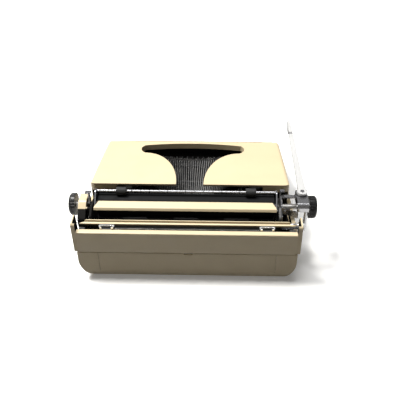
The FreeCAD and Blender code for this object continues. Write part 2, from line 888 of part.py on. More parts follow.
def type_rest():
    """Padded crescent that the typebars lie on."""
    pivot = pivot_point()
    strike = PRINT_POINT - pivot
    bar = strike.normalize()
    rest = FreeCAD.Rotation(X_AXIS, typebar_swing).multVec(bar)
    under = V(0, -abs(rest.z), -abs(rest.y))
    reach = pivot_radius * 0.86
    near = pivot + rest * reach + under * 3.2
    far = pivot + rest * (reach + 7) + under * 3.2
    points = [near, far, far + under * 5, near + under * 5]
    pad = around_basket(Part.Face(Part.makePolygon(points + [points[0]])), 2.5)
    right = box(74, 78, rest_tie_y - 3, rest_tie_y + 3, rest_tie_z, 75)
    rest_on = fuse([pad, right, mirrored(right)])
    return rest_on.cut(rod_x(rest_tie_y, rest_tie_z, tie_bar_radius, -90, 90))


def type_guide():
    """Forked guide in front of the print point; a struck typebar passes between its tips."""
    y0, y1 = 78.6, 80.8
    gap = slug_width / 2 + 1.3
    foot = box(-14, 14, 73.5, y1, 44, 47)
    stand = box(-10, 10, 73.5, 78.5, guide_tie_z, 45)
    stand = stand.cut(rod_x(guide_tie_y, guide_tie_z, tie_bar_radius, -11, 11))
    post = box(-14, 14, y0, y1, 44, 62)
    pieces = [foot, stand, post]
    for sign in (-1, 1):
        outer = sign * (gap + 3.2)
        inner = sign * gap
        points = [(outer * 1.5, 60), (outer, 76, 2.0), (inner * 1.25, 87.5), (inner, 87.5), (inner, 60)]
        pieces.append(prism_y(points, y0, y1))
    return fuse(pieces)


# ---------------------------------------------------------------- ribbon
def ribbon_spool(x):
    z = spool_z
    low = rod_z(x, spool_y, spool_radius, z, z + 1)
    high = rod_z(x, spool_y, spool_radius, z + spool_height - 1, z + spool_height)
    core = rod_z(x, spool_y, 14.0, z, z + spool_height)
    nut = rod_z(x, spool_y, 4.0, z, z + spool_height + 1.5)
    spool = fuse([low, high, core, nut])
    for i in range(3):
        angle = math.radians(120 * i)
        hole = rod_z(x + 17 * math.cos(angle), spool_y + 17 * math.sin(angle), 1.6, z - 1, z + 1.5)
        spool = spool.cut(hole)
    return spool.cut(rod_z(x, spool_y, spool_post_radius + running_fit, z - 1, z + spool_height + 2))


def spool_posts():
    post = rod_z(spool_x, spool_y, spool_post_radius, 36, spool_z + spool_height + 2.5)
    cup = rod_z(spool_x, spool_y, spool_radius + 2, spool_z - 3, spool_z - 1)
    arm = box(spool_x - 4, chassis_x, spool_y - 6, spool_y + 6, 36, 39)
    right = fuse([post, cup, arm])
    return Part.makeCompound([right, mirrored(right)])


def ribbon():
    """Inked ribbon from spool to spool, past the front of the platen."""
    bend_x = 17.5
    start_x = spool_x - 14.6
    start_y = spool_y + 3
    t = ribbon_thickness
    points = [
        (-start_x, start_y),
        (-bend_x, ribbon_y),
        (bend_x, ribbon_y),
        (start_x, start_y),
        (start_x - t, start_y - t),
        (bend_x - t, ribbon_y - t),
        (-bend_x + t, ribbon_y - t),
        (-start_x + t, start_y - t),
    ]
    return prism_z(points, ribbon_z + 0.3, ribbon_z + ribbon_width)


def ribbon_vibrator():
    """Fork that lifts the ribbon to the print line at each stroke."""
    y0, y1 = 81.2, 82.4
    bridge = box(-16, 16, y0, y1, 50, 58)
    left = box(-16, -12, y0, y1, 50, 79)
    right = box(12, 16, y0, y1, 50, 79)
    return fuse([bridge, left, right])


# ---------------------------------------------------------------- keyboard
def row_y(row):
    return first_row_y - row * key_row_pitch


def row_z(row):
    return first_row_z - row * row_step_z


def key_x(row, index):
    return (index - row_lengths[0] / 2) * key_pitch + row_lanes[row] * lever_lane


def key_cap(x, y, top, width=cap_size, depth=cap_size):
    """Cap with a dished top and drafted sides."""
    low = top - cap_height
    rings = []
    for inset, z in ((0, low), (cap_draft, top)):
        half = width / 2 - inset
        reach = depth / 2 - inset
        ring = rounded_rectangle(x - half, x + half, y - reach, y + reach, 2)
        rings.append(outline(ring, on_z(z)))
    cap = Part.makeLoft(rings, True)
    dish_radius = 45.0
    dish = rod_x(y, top + dish_radius - 0.9, dish_radius, x - width, x + width)
    return cap.cut(dish)


def key_lever(x, y, z_top):
    """Pressed steel lever from the fulcrum shaft to the key, with its upright."""
    half = lever_thickness / 2
    h = lever_height / 2
    profile = [
        (fulcrum_y + 6, fulcrum_z + h),
        (fulcrum_y + 6, fulcrum_z - h),
        (y - 2.5, key_lever_z - h),
        (y - 2.5, z_top),
        (y + 2.5, z_top),
        (y + 2.5, key_lever_z + h),
    ]
    lever = prism_x(profile, x - half, x + half)
    return lever.cut(rod_x(fulcrum_y, fulcrum_z, fulcrum_radius - 1.0 + running_fit, x - 3, x + 3))


def key(row, index):
    x = key_x(row, index)
    top = row_z(row)
    cap = key_cap(x, row_y(row), top)
    return fuse([cap, key_lever(x, row_y(row), top - cap_height + 2)])


def key_row(row):
    own = (key_g_index, key_h_index) if row == home_row else ()
    return Part.makeCompound([key(row, i) for i in range(row_lengths[row]) if i not in own])


def key_fulcrum_shaft():
    thick = []
    shaft = rod_x(fulcrum_y, fulcrum_z, fulcrum_radius - 1.0, -chassis_x - 1, chassis_x + 1)
    for sign in (-1, 1):
        x0, x1 = sorted((sign * (chassis_x - 1), sign * (chassis_x + 4)))
        thick.append(rod_x(fulcrum_y, fulcrum_z, fulcrum_radius, x0, x1))
    return fuse([shaft] + thick)


def space_bar():
    left_gap = key_x(3, 1) + key_pitch / 2
    right_gap = key_x(3, 6) + key_pitch / 2
    width = 2 * (space_bar_overhang - left_gap)
    bar = key_cap(0, space_bar_y, space_bar_z, width, space_bar_depth)
    seat = space_bar_z - cap_height + 2
    left = stepped_lever(-space_bar_lane * lever_lane, left_gap, space_bar_y, seat)
    right = stepped_lever(space_bar_lane * lever_lane, right_gap, space_bar_y, seat)
    return fuse([bar, left, right])


def stepped_lever(rear_x, front_x, y, z_top):
    """Lever that steps sideways in front of the home row, to pass between two bottom row caps."""
    half = lever_thickness / 2
    step_y = (row_y(home_row) + row_y(home_row + 1)) / 2
    lever = key_lever(0, y, z_top)
    rear = lever.common(box(-5, 5, step_y - 1, fulcrum_y + 20, 0, 100))
    front = lever.common(box(-5, 5, y - 20, step_y + 1, 0, 100))
    rear.translate(V(rear_x, 0, 0))
    front.translate(V(front_x, 0, 0))
    step = lever.common(box(-5, 5, step_y - 1, step_y + 1, 0, 100)).BoundBox
    x0, x1 = sorted((rear_x, front_x))
    bridge = box(x0 - half, x1 + half, step_y - 1, step_y + 1, step.ZMin + 0.2, step.ZMax - 0.2)
    return fuse([rear, front, bridge])


def side_key(x, row, width, lever_x):
    """Cap beside a row, on a lever that may stand off the cap's middle."""
    y = row_y(row)
    top = row_z(row)
    seat = top - cap_height
    x0, x1 = sorted((x, lever_x))
    half = lever_thickness / 2
    bridge = box(x0 - half, x1 + half, y - 2.5, y + 2.5, seat - 1.2, seat + 1)
    return fuse([key_cap(x, y, top, width), key_lever(lever_x, y, seat + 2), bridge])


def left_of_row(row, gap, width):
    """Middle of a cap that stands beside the row's first key."""
    return key_x(row, 0) - cap_size / 2 - gap - width / 2


def shift_keys():
    left_x = left_of_row(3, 2.0, shift_left_width)
    lock_x = left_of_row(2, 6.0, shift_lock_width)
    right_x = key_x(3, row_lengths[3] - 1) + cap_size / 2 + 4.5 + shift_right_width / 2
    left = side_key(left_x, 3, shift_left_width, -(outer_lane - 2) * lever_lane)
    right = side_key(right_x, 3, shift_right_width, (outer_lane - 2) * lever_lane)
    lock = side_key(lock_x, 2, shift_lock_width, -(outer_lane - 1) * lever_lane)
    return Part.makeCompound([left, right, lock])


def backspace_key():
    x = key_x(0, row_lengths[0])
    return side_key(x, 0, cap_size, x)


def margin_release_key():
    x = left_of_row(1, 9.75, margin_release_width)
    return side_key(x, 1, margin_release_width, -outer_lane * lever_lane)


def color_selector():
    """Two-colour ribbon switch at the right of the keyboard."""
    x = selector_x
    y = selector_y()
    stem = box(x - 0.8, x + 0.8, y - 2, y + 2, 36, 55)
    tip = box(x - 2.2, x + 2.2, y - 4, y + 4, 55, 58.5)
    hub = rod_x(y, selector_z, 4.0, x - 0.8, x + 0.8)
    return fuse([stem, tip, hub]).cut(rod_x(y, selector_z, 1.5 + running_fit, x - 5, x + 5))


def selector_y():
    return row_y(1)


# ---------------------------------------------------------------- carriage
def carriage_bed():
    z = bed_z
    profile = [
        (bed_front_y, z),
        (bed_rear_y, z),
        (bed_rear_y, z + 17),
        (bed_rear_y - 2, z + 17),
        (bed_rear_y - 2, z + bed_thickness),
        (bed_front_y, z + bed_thickness),
    ]
    return prism_x(profile, -bed_half_length, bed_half_length)


def roller_place(side):
    angle = math.radians(feed_roller_angle)
    reach = platen_radius + feed_roller_radius + feed_roller_gap
    return platen_y + side * reach * math.cos(angle), platen_z - reach * math.sin(angle)


def carriage_end(x0, x1):
    """End plate with the bearings of the platen, rollers, bail and release bar."""
    z = bed_z
    profile = [
        (bed_front_y, z, 3),
        (bed_rear_y, z, 3),
        (bed_rear_y + 1, 88, 5),
        (126, 96, 5),
        (96, 91, 9),
        (bed_front_y, 76, 5),
    ]
    plate = prism_x(profile, x0, x1)
    plate = plate.cut(rod_x(platen_y, platen_z, platen_shaft_radius + running_fit, x0 - 1, x1 + 1))
    for side in (-1, 1):
        y, roller_z = roller_place(side)
        plate = plate.cut(rod_x(y, roller_z, 1.5 + running_fit, x0 - 1, x1 + 1))
    plate = plate.cut(rod_x(bail_pivot_y, bail_pivot_z, 1.5 + running_fit, x0 - 1, x1 + 1))
    return plate.cut(rod_x(release_bar_y, release_bar_z, 2.0 + running_fit, x0 - 1, x1 + 1))


def carriage_end_left():
    """Left end plate, with the stub that the line spacing lever turns on."""
    outer = -end_plate_x - end_plate_thickness
    stub = rod_x(selector_pivot[0], selector_pivot[1], 1.2, outer - 3, outer + 1)
    return fuse([carriage_end(outer, -end_plate_x), stub])


def carriage_end_right():
    """Right end plate with its cream end cap, which the knob's shaft passes through."""
    plate = carriage_end(end_plate_x, end_plate_x + end_plate_thickness)
    cap_profile = [
        (90, 64.0, 6),
        (138, 64.0, 4),
        (138, 80.0, 5),
        (118, 97.0, 6),
        (98, 97.0, 8),
        (90, 86.0, 6),
    ]
    cap_x0 = end_plate_x + 10.0
    cap_x1 = end_plate_x + 21.0
    cap = prism_x(cap_profile, cap_x0, cap_x1)
    hollow = prism_x([(93, 67, 4), (135, 67, 3), (135, 79, 3), (117, 94, 4), (99, 94, 5), (93, 85, 4)],
                     cap_x0 - 1, cap_x1 - 3)
    cap = cap.cut(hollow)
    strut_places = ((96, 73), (124, 88.5), (114, 68.5))
    struts = [rod_x(y, z, 2.2, end_plate_x + 1, cap_x1 - 2) for y, z in strut_places]
    stub = rod_x(paper_release_pivot[0], paper_release_pivot[1], 1.2, end_plate_x + 1, end_plate_x + 8)
    body = fuse([plate, cap, stub] + struts)
    body = body.cut(rod_x(platen_y, platen_z, platen_shaft_radius + 0.4, end_plate_x + 4, cap_x1 + 3))
    return body.cut(rod_x(release_bar_y, release_bar_z, 2.4, end_plate_x + 4, cap_x1 + 3))


def paper_table():
    """Narrow paper table with a rolled rear edge and a bracket at each end."""
    z = paper_table_z
    y0, y1 = paper_table_top_y, paper_table_rear_y
    half = paper_table_half
    profile = [
        (y0, z),
        (y1, z - 1.5, 2.0),
        (y1 + 1.6, z - 5.4),
        (y1 + 0.5, z - 5.7),
        (y1 - 1.1, z - 2.9, 1.0),
        (y0, z - 1.4),
    ]
    table = prism_x(profile, -half, half)
    top_half = half - paper_table_end_slant
    trapezoid = [
        (-top_half, y0 - 1),
        (top_half, y0 - 1),
        (half, y1),
        (half, y1 + 6),
        (-half, y1 + 6),
        (-half, y1),
    ]
    table = table.common(prism_z(trapezoid, z - 20, z + 5))
    brackets = []
    for sign in (-1, 1):
        x0, x1 = sorted((sign * (half - 0.8), sign * (half - 2.6)))
        brackets.append(box(x0, x1, y1 - 7, y1 - 1, bed_z + bed_thickness, z - 2.2))
    table = fuse([table] + brackets)
    return table.cut(rod_x(release_bar_y, release_bar_z, 2.4, -half - 5, half + 5))


def escapement_rack():
    """Toothed rack behind the bed, above the escapement wheel."""
    y0, y1 = bed_rear_y, bed_rear_y + 3.0
    pitch = 2.54
    count = 92
    start = -pitch * count / 2
    points = [V(start, y0, bed_z + 6), V(start, y0, bed_z + 1.5)]
    for i in range(count):
        points.append(V(start + (i + 0.5) * pitch, y0, bed_z))
        points.append(V(start + (i + 1) * pitch, y0, bed_z + 1.5))
    points.append(V(-start, y0, bed_z + 6))
    points.append(points[0])
    return Part.Face(Part.makePolygon(points)).extrude(V(0, y1 - y0, 0))


def platen_roller():
    roller = rod_x(platen_y, platen_z, platen_radius, -platen_half_length, platen_half_length)
    return roller.cut(rod_x(platen_y, platen_z, platen_shaft_radius, -200, 200))


def platen_shaft():
    return rod_x(platen_y, platen_z, platen_shaft_radius, knob_left_x[1] - 2.0, knob_right_x[0] + 2.0)


def knob(x0, x1, dome_side):
    """Ribbed hand knob with a domed outer face."""
    body = rod_x(platen_y, platen_z, knob_radius, x0, x1)
    outer_x = x1 if dome_side > 0 else x0
    rim = [e for e in body.Edges if e.BoundBox.XLength < 0.01 and abs(e.BoundBox.XMin - outer_x) < 0.01]
    body = body.makeFillet(4.5, rim)
    ribs = []
    count = 24
    for i in range(count):
        angle = 2 * math.pi * i / count
        y = platen_y + (knob_radius + 0.5) * math.cos(angle)
        z = platen_z + (knob_radius + 0.5) * math.sin(angle)
        ribs.append(rod_x(y, z, 1.1, x0 - 1, x1 + 1))
    body = body.cut(Part.makeCompound(ribs))
    inner_x0, inner_x1 = (x0 - 0.1, x0 + 2.0) if dome_side > 0 else (x1 - 2.0, x1 + 0.1)
    return body.cut(rod_x(platen_y, platen_z, platen_shaft_radius, inner_x0, inner_x1))


def platen_knobs():
    right = knob(knob_right_x[0], knob_right_x[1], 1)
    left = knob(knob_left_x[0], knob_left_x[1], -1)
    return Part.makeCompound([right, left])


def ratchet_wheel():
    wheel = toothed_disc(ratchet_radius, 1.4, ratchet_teeth, 3.0)
    wheel.rotate(ORIGIN, Y_AXIS, 90)
    wheel.translate(V(-end_plate_x - end_plate_thickness - 3.6, platen_y, platen_z))
    return wheel.cut(rod_x(platen_y, platen_z, platen_shaft_radius, -200, 0))


def feed_roller(side):
    """Axle with three rubber rollers that press the paper to the platen."""
    y, z = roller_place(side)
    axle = rod_x(y, z, 1.5, -end_plate_x - 2.5, end_plate_x + 2.5)
    rollers = [rod_x(y, z, feed_roller_radius, x - 17, x + 17) for x in (-72, 0, 72)]
    return fuse([axle] + rollers)


def paper_bail():
    """Scale rod with an arm at each end, pivoted in the end plates."""
    reach = end_plate_x - 2.4
    rod = rod_x(bail_rod_y, bail_rod_z, bail_rod_radius, -reach, reach)
    arms = []
    for sign in (-1, 1):
        x0, x1 = sorted((sign * (reach - 1.0), sign * (reach + 0.8)))
        arm = prism_x([
            (bail_rod_y - 4, bail_rod_z + 3.2, 3),
            (bail_rod_y + 6, bail_rod_z + 3.6, 4),
            (bail_pivot_y + 4, bail_pivot_z + 3, 4),
            (bail_pivot_y + 1, bail_pivot_z - 4.5, 3),
            (bail_pivot_y - 5, bail_pivot_z - 2, 3),
            (bail_rod_y - 3, bail_rod_z - 4, 3),
        ], x0, x1)
        arms.append(arm)
        p0, p1 = sorted((sign * reach, sign * (end_plate_x + 2.5)))
        arms.append(rod_x(bail_pivot_y, bail_pivot_z, 1.5, p0, p1))
    return fuse([rod] + arms)


def bail_rollers():
    gap = platen_gap_to_bail() - 0.3
    rollers = []
    for x in (-bail_roller_x, bail_roller_x):
        half = bail_roller_length / 2
        roller = rod_x(bail_rod_y, bail_rod_z, gap, x - half, x + half)
        rims = [e for e in roller.Edges if e.BoundBox.XLength < 0.01]
        roller = roller.makeFillet(1.0, rims)
        bore = rod_x(bail_rod_y, bail_rod_z, bail_rod_radius + running_fit, x - 20, x + 20)
        rollers.append(roller.cut(bore))
    return Part.makeCompound(rollers)


def platen_gap_to_bail():
    return math.hypot(bail_rod_y - platen_y, bail_rod_z - platen_z) - platen_radius


def return_lever_bracket():
    """Silver housing at the left end that carries the return lever and the line feed."""
    outer = -end_plate_x - end_plate_thickness
    x0 = outer - 36.5
    x1 = outer - 21.0
    top = lever_pivot_z - 2.6
    housing = prism_x([
        (100, 97, 2), (139, 97, 2), (139, 104, 3), (136, top, 3), (102, top, 3),
    ], x0, x1)
    hollow = [(103, 90), (136, 90), (136, 103, 2), (134, top - 2, 2), (104, top - 2, 2)]
    inner = prism_x(hollow, x0 + 2, x1 - 2)
    housing = housing.cut(inner)
    strap = box(x1 - 1, outer, 100, 106, 97, 99)
    shelf = box(outer - 2, outer, 100, 130, 95.8, 99)
    foot = box(outer - 2, outer, 118, 130, 86, 99)
    low_strap = box(x0 + 2, outer, 126, 139, 66.0, 68.0)
    web = box(x0 + 2, x0 + 4, 126, 139, 67.0, 98.0)
    link = box(outer - 2, outer, 126, 139, 66.0, 90.0)
    guard = prism_y([(outer, 99), (outer, 89), (x1 - 3, 80, 1.5), (x1 - 3, 90, 1.5)], 128, 130)
    pin = rod_z(lever_pivot_x, lever_pivot_y, lever_pin_radius, top - 1, lever_pivot_z + 2.4)
    guard_screw = rod_y(outer - 5.5, 91.5, 2.2, 129, 131.4)
    bracket = fuse([housing, strap, shelf, foot, low_strap, web, link, guard, guard_screw, pin])
    return bracket.cut(rod_x(release_bar_y, release_bar_z, 2.4, x0 - 5, outer + 5))


def return_lever():
    """Long tapered lever with a rounded hub and an upturned finger end."""
    z0 = lever_pivot_z
    thick = 3.0
    hub = rod_z(lever_pivot_x, lever_pivot_y, 7.5, z0 - thick / 2, z0 + thick / 2)
    root = V(lever_pivot_x, lever_pivot_y, z0)
    knee = V(lever_pivot_x + 0.5, lever_pivot_y - 18, z0 + 1.0)
    bend = V(lever_tip_x - 1.0, lever_tip_y + 30, lever_tip_z - 5.0)
    tip = V(lever_tip_x, lever_tip_y, lever_tip_z)
    sections = []
    for place, width in ((root, 12.0), (knee, 10.5), (bend, 6.5), (tip, 3.6)):
        half = width / 2
        reach = thick / 2
        section = rounded_rectangle(place.x - half, place.x + half, place.z - reach, place.z + reach, 0.8)
        sections.append(outline(section, on_y(place.y)))
    arm = Part.makeLoft(sections, True)
    finger = prism_x([
        (lever_tip_y + 1, lever_tip_z),
        (lever_tip_y + 27, lever_tip_z - 4.5),
        (lever_tip_y + 22, lever_tip_z - 11, 3),
        (lever_tip_y + 8, lever_tip_z - 9, 3),
    ], lever_tip_x + 0.4, lever_tip_x + 2.6)
    bore = rod_z(lever_pivot_x, lever_pivot_y, lever_pin_radius + running_fit, z0 - 10, z0 + 10)
    return fuse([hub, arm, finger]).cut(bore)


def line_space_selector():
    """Three-position line spacing lever beside the ratchet."""
    x0 = -end_plate_x - end_plate_thickness - 2.6
    x1 = x0 + 1.6
    y, z = selector_pivot
    hub = rod_x(y, z, 2.4, x0, x1)
    stem = prism_x([
        (y - 2.3, z),
        (y + 1.2, z),
        (y + 0.8, z + 18, 2),
        (y + 9, z + 25, 1),
        (y + 7, z + 27, 1),
        (y - 2.4, z + 20, 3),
    ], x0, x1)
    tip = box(x0 - 4, x1 + 1.0, y + 4, y + 9, z + 25, z + 27)
    return fuse([hub, stem, tip]).cut(rod_x(y, z, 1.2 + running_fit, x0 - 1, x1 + 1))


def carriage_release():
    """Bar across the carriage with a thumb tab at each end."""
    y, z = release_bar_y, release_bar_z
    tab_x1 = end_plate_x + 35.0
    tab_x0 = tab_x1 - 8.0
    bar = rod_x(y, z, 2.0, -tab_x1 + 1, tab_x1 - 1)
    pieces = [bar]
    for sign in (-1, 1):
        x0, x1 = sorted((sign * tab_x0, sign * tab_x1))
        profile = [
            (y - 3, z - 3, 1),
            (y + 5, z - 2, 1),
            (y + 9, z + 9, 1.5),
            (y + 6, z + 10, 1.2),
            (y - 1, z + 3),
        ]
        pieces.append(prism_x(profile, x0, x1))
    return fuse(pieces)


def paper_release_lever():
    x0 = end_plate_x + end_plate_thickness + 2.5
    x1 = x0 + 2.0
    y, z = paper_release_pivot
    hub = rod_x(y, z, 3.4, x0, x1)
    stem = prism_x([(y - 2.5, z), (y + 2.5, z), (y - 1.0, 107, 1), (y - 5, 107, 1)], x0, x1)
    tip = box(x0 - 2, x1 + 4, y - 6, y, 106, 108.2)
    return fuse([hub, stem, tip]).cut(rod_x(y, z, 1.2 + running_fit, x0 - 1, x1 + 1))


# ---------------------------------------------------------------- write every node
def all_nodes():
    nodes = {
        "base_shell": base_shell(),
        "rear_panel": rear_panel(),
        "side_panel_right": side_panel_right(),
        "side_panel_left": mirrored(side_panel_right()),
        "rear_deck_strip": rear_deck_strip(),
        "rail_end_blocks": rail_end_blocks(),
        "margin_rail": margin_rail(),
        "margin_stop_right": margin_stop_right(),
        "margin_stop_left": mirrored(margin_stop_right()),
        "keyboard_surround": keyboard_surround(),
        "ribbon_cover": ribbon_cover(),
        "rubber_feet": rubber_feet(),
        "housing_screws": housing_screws(),
        "chassis_frame": chassis_frame(),
        "carriage_rails": carriage_rails(),
        "escapement_wheel": escapement_wheel(),
        "mainspring_drum": mainspring_drum(),
        "bell": bell(),
        "type_segment": type_segment(),
        "typebar_wire": typebar_wire(),
        "typebars": typebars(),
        "typebar_g": typebar_g(),
        "typebar_h": typebar_h(),
        "type_rest": type_rest(),
        "type_guide": type_guide(),
        "ribbon_spool_left": ribbon_spool(-spool_x),
        "ribbon_spool_right": ribbon_spool(spool_x),
        "spool_posts": spool_posts(),
        "ribbon": ribbon(),
        "ribbon_vibrator": ribbon_vibrator(),
        "key_fulcrum_shaft": key_fulcrum_shaft(),
        "key_g": key(home_row, key_g_index),
        "key_h": key(home_row, key_h_index),
        "space_bar": space_bar(),
        "shift_keys": shift_keys(),
        "backspace_key": backspace_key(),
        "margin_release_key": margin_release_key(),
        "color_selector": color_selector(),
        "carriage_bed": carriage_bed(),
        "carriage_end_left": carriage_end_left(),
        "carriage_end_right": carriage_end_right(),
        "paper_table": paper_table(),
        "escapement_rack": escapement_rack(),
        "platen_roller": platen_roller(),
        "platen_shaft": platen_shaft(),
        "platen_knobs": platen_knobs(),
        "ratchet_wheel": ratchet_wheel(),
        "feed_roller_front": feed_roller(-1),
        "feed_roller_rear": feed_roller(1),
        "paper_bail": paper_bail(),
        "bail_rollers": bail_rollers(),
        "return_lever_bracket": return_lever_bracket(),
        "return_lever": return_lever(),
        "line_space_selector": line_space_selector(),
        "carriage_release": carriage_release(),
        "paper_release_lever": paper_release_lever(),
    }
    for row, name in enumerate(row_names):
        nodes[name] = key_row(row)
    for name in carriage_nodes:
        nodes[name].translate(V(carriage_x, 0, 0))
    return nodes


os.makedirs("parts", exist_ok=True)
for node_name, shape in all_nodes().items():
    shape.translate(V(-outline_middle_x, 0, 0))
    shape.exportStep("parts/" + node_name + ".step")
    state = "valid" if shape.isValid() else "INVALID"
    print(node_name, len(shape.Solids), "solids", state, shape.BoundBox)
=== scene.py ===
import json
import math

import bmesh
import bpy
from mathutils import Matrix, Vector


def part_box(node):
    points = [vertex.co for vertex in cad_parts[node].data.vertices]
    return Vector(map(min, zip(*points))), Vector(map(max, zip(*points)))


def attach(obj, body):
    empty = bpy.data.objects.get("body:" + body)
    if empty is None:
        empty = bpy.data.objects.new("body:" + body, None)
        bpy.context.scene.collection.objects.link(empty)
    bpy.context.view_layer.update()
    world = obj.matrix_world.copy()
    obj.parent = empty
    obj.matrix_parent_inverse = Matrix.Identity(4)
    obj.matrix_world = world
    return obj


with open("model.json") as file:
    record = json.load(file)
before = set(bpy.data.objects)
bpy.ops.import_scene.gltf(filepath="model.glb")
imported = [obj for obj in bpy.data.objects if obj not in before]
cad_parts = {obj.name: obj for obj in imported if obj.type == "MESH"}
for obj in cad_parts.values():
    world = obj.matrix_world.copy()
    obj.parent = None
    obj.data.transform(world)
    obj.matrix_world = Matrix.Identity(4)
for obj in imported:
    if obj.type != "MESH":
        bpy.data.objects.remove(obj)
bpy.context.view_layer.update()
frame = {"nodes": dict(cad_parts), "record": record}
MM = 0.001
SHELL_LOW, SHELL_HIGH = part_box("base_shell")
SHELL_MIDDLE = (SHELL_LOW.x + SHELL_HIGH.x) / 2


# ---------------------------------------------------------------- camera, lights, floor
CAMERA_PLACE = Vector((-35.65, 762.0, 575.9)) * MM
CAMERA_YAW = math.radians(1.21)
CAMERA_DOWN = math.radians(37.17)
CAMERA_LENS = 49.75
CAMERA_SENSOR = 36.0

LIGHT_TARGET = (0, 0, 0.05)
# name, place, disc diameter, power in watts, colour
LIGHTS = (
    ("key_light", (0.80, -0.12, 1.80), 0.6, 64, (1.0, 0.985, 0.95)),
    ("top_light", (0.05, -0.12, 2.0), 1.0, 26, (1.0, 1.0, 1.0)),
    ("camera_fill", (0.2, 2.2, 0.9), 1.2, 2.1, (1.0, 0.93, 0.80)),
)

BACKDROP_WHITE = (1.0, 1.0, 1.0, 1)
AMBIENT_COLOUR = (1.0, 0.96, 0.88, 1)
AMBIENT_STRENGTH = 0.075
ROOM_COLOUR = (0.8, 0.8, 0.8, 1)
# upward share of a ray's direction, and the room's strength there
ROOM_WALL, WALL_GLOW = 0.15, 0.02
ROOM_CEILING, CEILING_GLOW = 0.75, 0.95

FLOOR_REACH = 6.0
FLOOR_LOOK = {
    "Base Color": (0.93, 0.93, 0.92, 1),
    "Roughness": 0.9,
    "Specular IOR Level": 0.1,
    "Emission Color": (1, 1, 1, 1),
    "Emission Strength": 0.14,
}


def aim(obj, place, target):
    obj.location = place
    obj.rotation_euler = (Vector(target) - Vector(place)).to_track_quat("-Z", "Y").to_euler()


def make_camera():
    data = bpy.data.cameras.new("camera")
    data.lens = CAMERA_LENS
    data.sensor_width = CAMERA_SENSOR
    camera = bpy.data.objects.new("camera", data)
    bpy.context.scene.collection.objects.link(camera)
    level = math.cos(CAMERA_DOWN)
    ahead = Vector((math.sin(CAMERA_YAW) * level, -math.cos(CAMERA_YAW) * level, -math.sin(CAMERA_DOWN)))
    aim(camera, CAMERA_PLACE, CAMERA_PLACE + ahead)
    bpy.context.scene.camera = camera


def make_lights():
    for name, place, size, power, colour in LIGHTS:
        data = bpy.data.lights.new(name, "AREA")
        data.shape = "DISK"
        data.size = size
        data.energy = power
        data.color = colour
        light = bpy.data.objects.new(name, data)
        bpy.context.scene.collection.objects.link(light)
        aim(light, place, LIGHT_TARGET)


def background(tree, colour):
    node = tree.nodes.new("ShaderNodeBackground")
    node.inputs["Color"].default_value = colour
    return node


def chosen(tree, ray_kind, others, these):
    """One shader for the rays of a kind, and another for all other rays."""
    node = tree.nodes.new("ShaderNodeMixShader")
    tree.links.new(ray_kind, node.inputs["Fac"])
    tree.links.new(others, node.inputs[1])
    tree.links.new(these, node.inputs[2])
    return node.outputs["Shader"]


def room_glow(tree):
    """Strength of the room that shows in reflections, by how steeply the ray rises."""
    direction = tree.nodes.new("ShaderNodeSeparateXYZ")
    generated = tree.nodes.new("ShaderNodeTexCoord").outputs["Generated"]
    tree.links.new(generated, direction.inputs["Vector"])
    glow = tree.nodes.new("ShaderNodeMapRange")
    glow.inputs["From Min"].default_value = ROOM_WALL
    glow.inputs["From Max"].default_value = ROOM_CEILING
    glow.inputs["To Min"].default_value = WALL_GLOW
    glow.inputs["To Max"].default_value = CEILING_GLOW
    tree.links.new(direction.outputs["Z"], glow.inputs["Value"])
    return glow.outputs["Result"]


def make_world():
    """White to the camera, faint to lighting, and a bright ceiling over a dark horizon in reflections."""
    world = bpy.data.worlds.new("studio")
    bpy.context.scene.world = world
    world.use_nodes = True
    tree = world.node_tree
    tree.nodes.clear()
    output = tree.nodes.new("ShaderNodeOutputWorld")
    shown = background(tree, BACKDROP_WHITE)
    ambient = background(tree, AMBIENT_COLOUR)
    ambient.inputs["Strength"].default_value = AMBIENT_STRENGTH
    room = background(tree, ROOM_COLOUR)
    tree.links.new(room_glow(tree), room.inputs["Strength"])
    ray = tree.nodes.new("ShaderNodeLightPath").outputs
    unseen = chosen(tree, ray["Is Glossy Ray"], ambient.outputs["Background"], room.outputs["Background"])
    seen = chosen(tree, ray["Is Camera Ray"], unseen, shown.outputs["Background"])
    tree.links.new(seen, output.inputs["Surface"])


def make_floor():
    """Pale paper that glows faintly and sends no bounced light up to the machine."""
    reach = FLOOR_REACH
    corners = [(-reach, -reach, 0), (reach, -reach, 0), (reach, reach, 0), (-reach, reach, 0)]
    mesh = bpy.data.meshes.new("floor")
    mesh.from_pydata(corners, [], [(0, 1, 2, 3)])
    floor = bpy.data.objects.new("floor", mesh)
    bpy.context.scene.collection.objects.link(floor)
    paper = bpy.data.materials.new("floor_paper")
    paper.use_nodes = True
    shader = paper.node_tree.nodes["Principled BSDF"]
    for socket, value in FLOOR_LOOK.items():
        shader.inputs[socket].default_value = value
    mesh.materials.append(paper)
    floor.visible_diffuse = False


# ---------------------------------------------------------------- colours
CREAM = (0.56, 0.465, 0.305, 1)
CREAM_SHADE = (0.51, 0.42, 0.27, 1)
ENAMEL_RUBBED = (0.74, 0.69, 0.56, 1)
SPECK_SHARES = (0.70, 0.66, 0.60)  # a speck's red, green and blue, as shares of the shade colour
# black and faint grey of the painted shade on the inward, hidden and downward faces of cream parts
PAINTED_SHADE_BLACK = (0.004, 0.004, 0.004, 1)
PAINTED_SHADE_GREY = (0.014, 0.0135, 0.0125, 1)
LEGEND_WHITE = (0.86, 0.84, 0.78, 1)
LEGEND_SHADE = (0.7, 0.68, 0.62, 1)
WRINKLE_BLACK = (0.012, 0.012, 0.012, 1)
WRINKLE_GREY = (0.03, 0.029, 0.027, 1)
WRINKLE_RUBBED = (0.16, 0.155, 0.15, 1)
RUBBER_BLACK = (0.012, 0.012, 0.0125, 1)
RUBBER_WORN = (0.04, 0.039, 0.037, 1)
PLATEN_BLACK = (0.004, 0.004, 0.0045, 1)
PLATEN_WORN = (0.012, 0.012, 0.012, 1)
SCALE_BLACK = (0.01, 0.01, 0.01, 1)
SCALE_WORN = (0.03, 0.03, 0.03, 1)
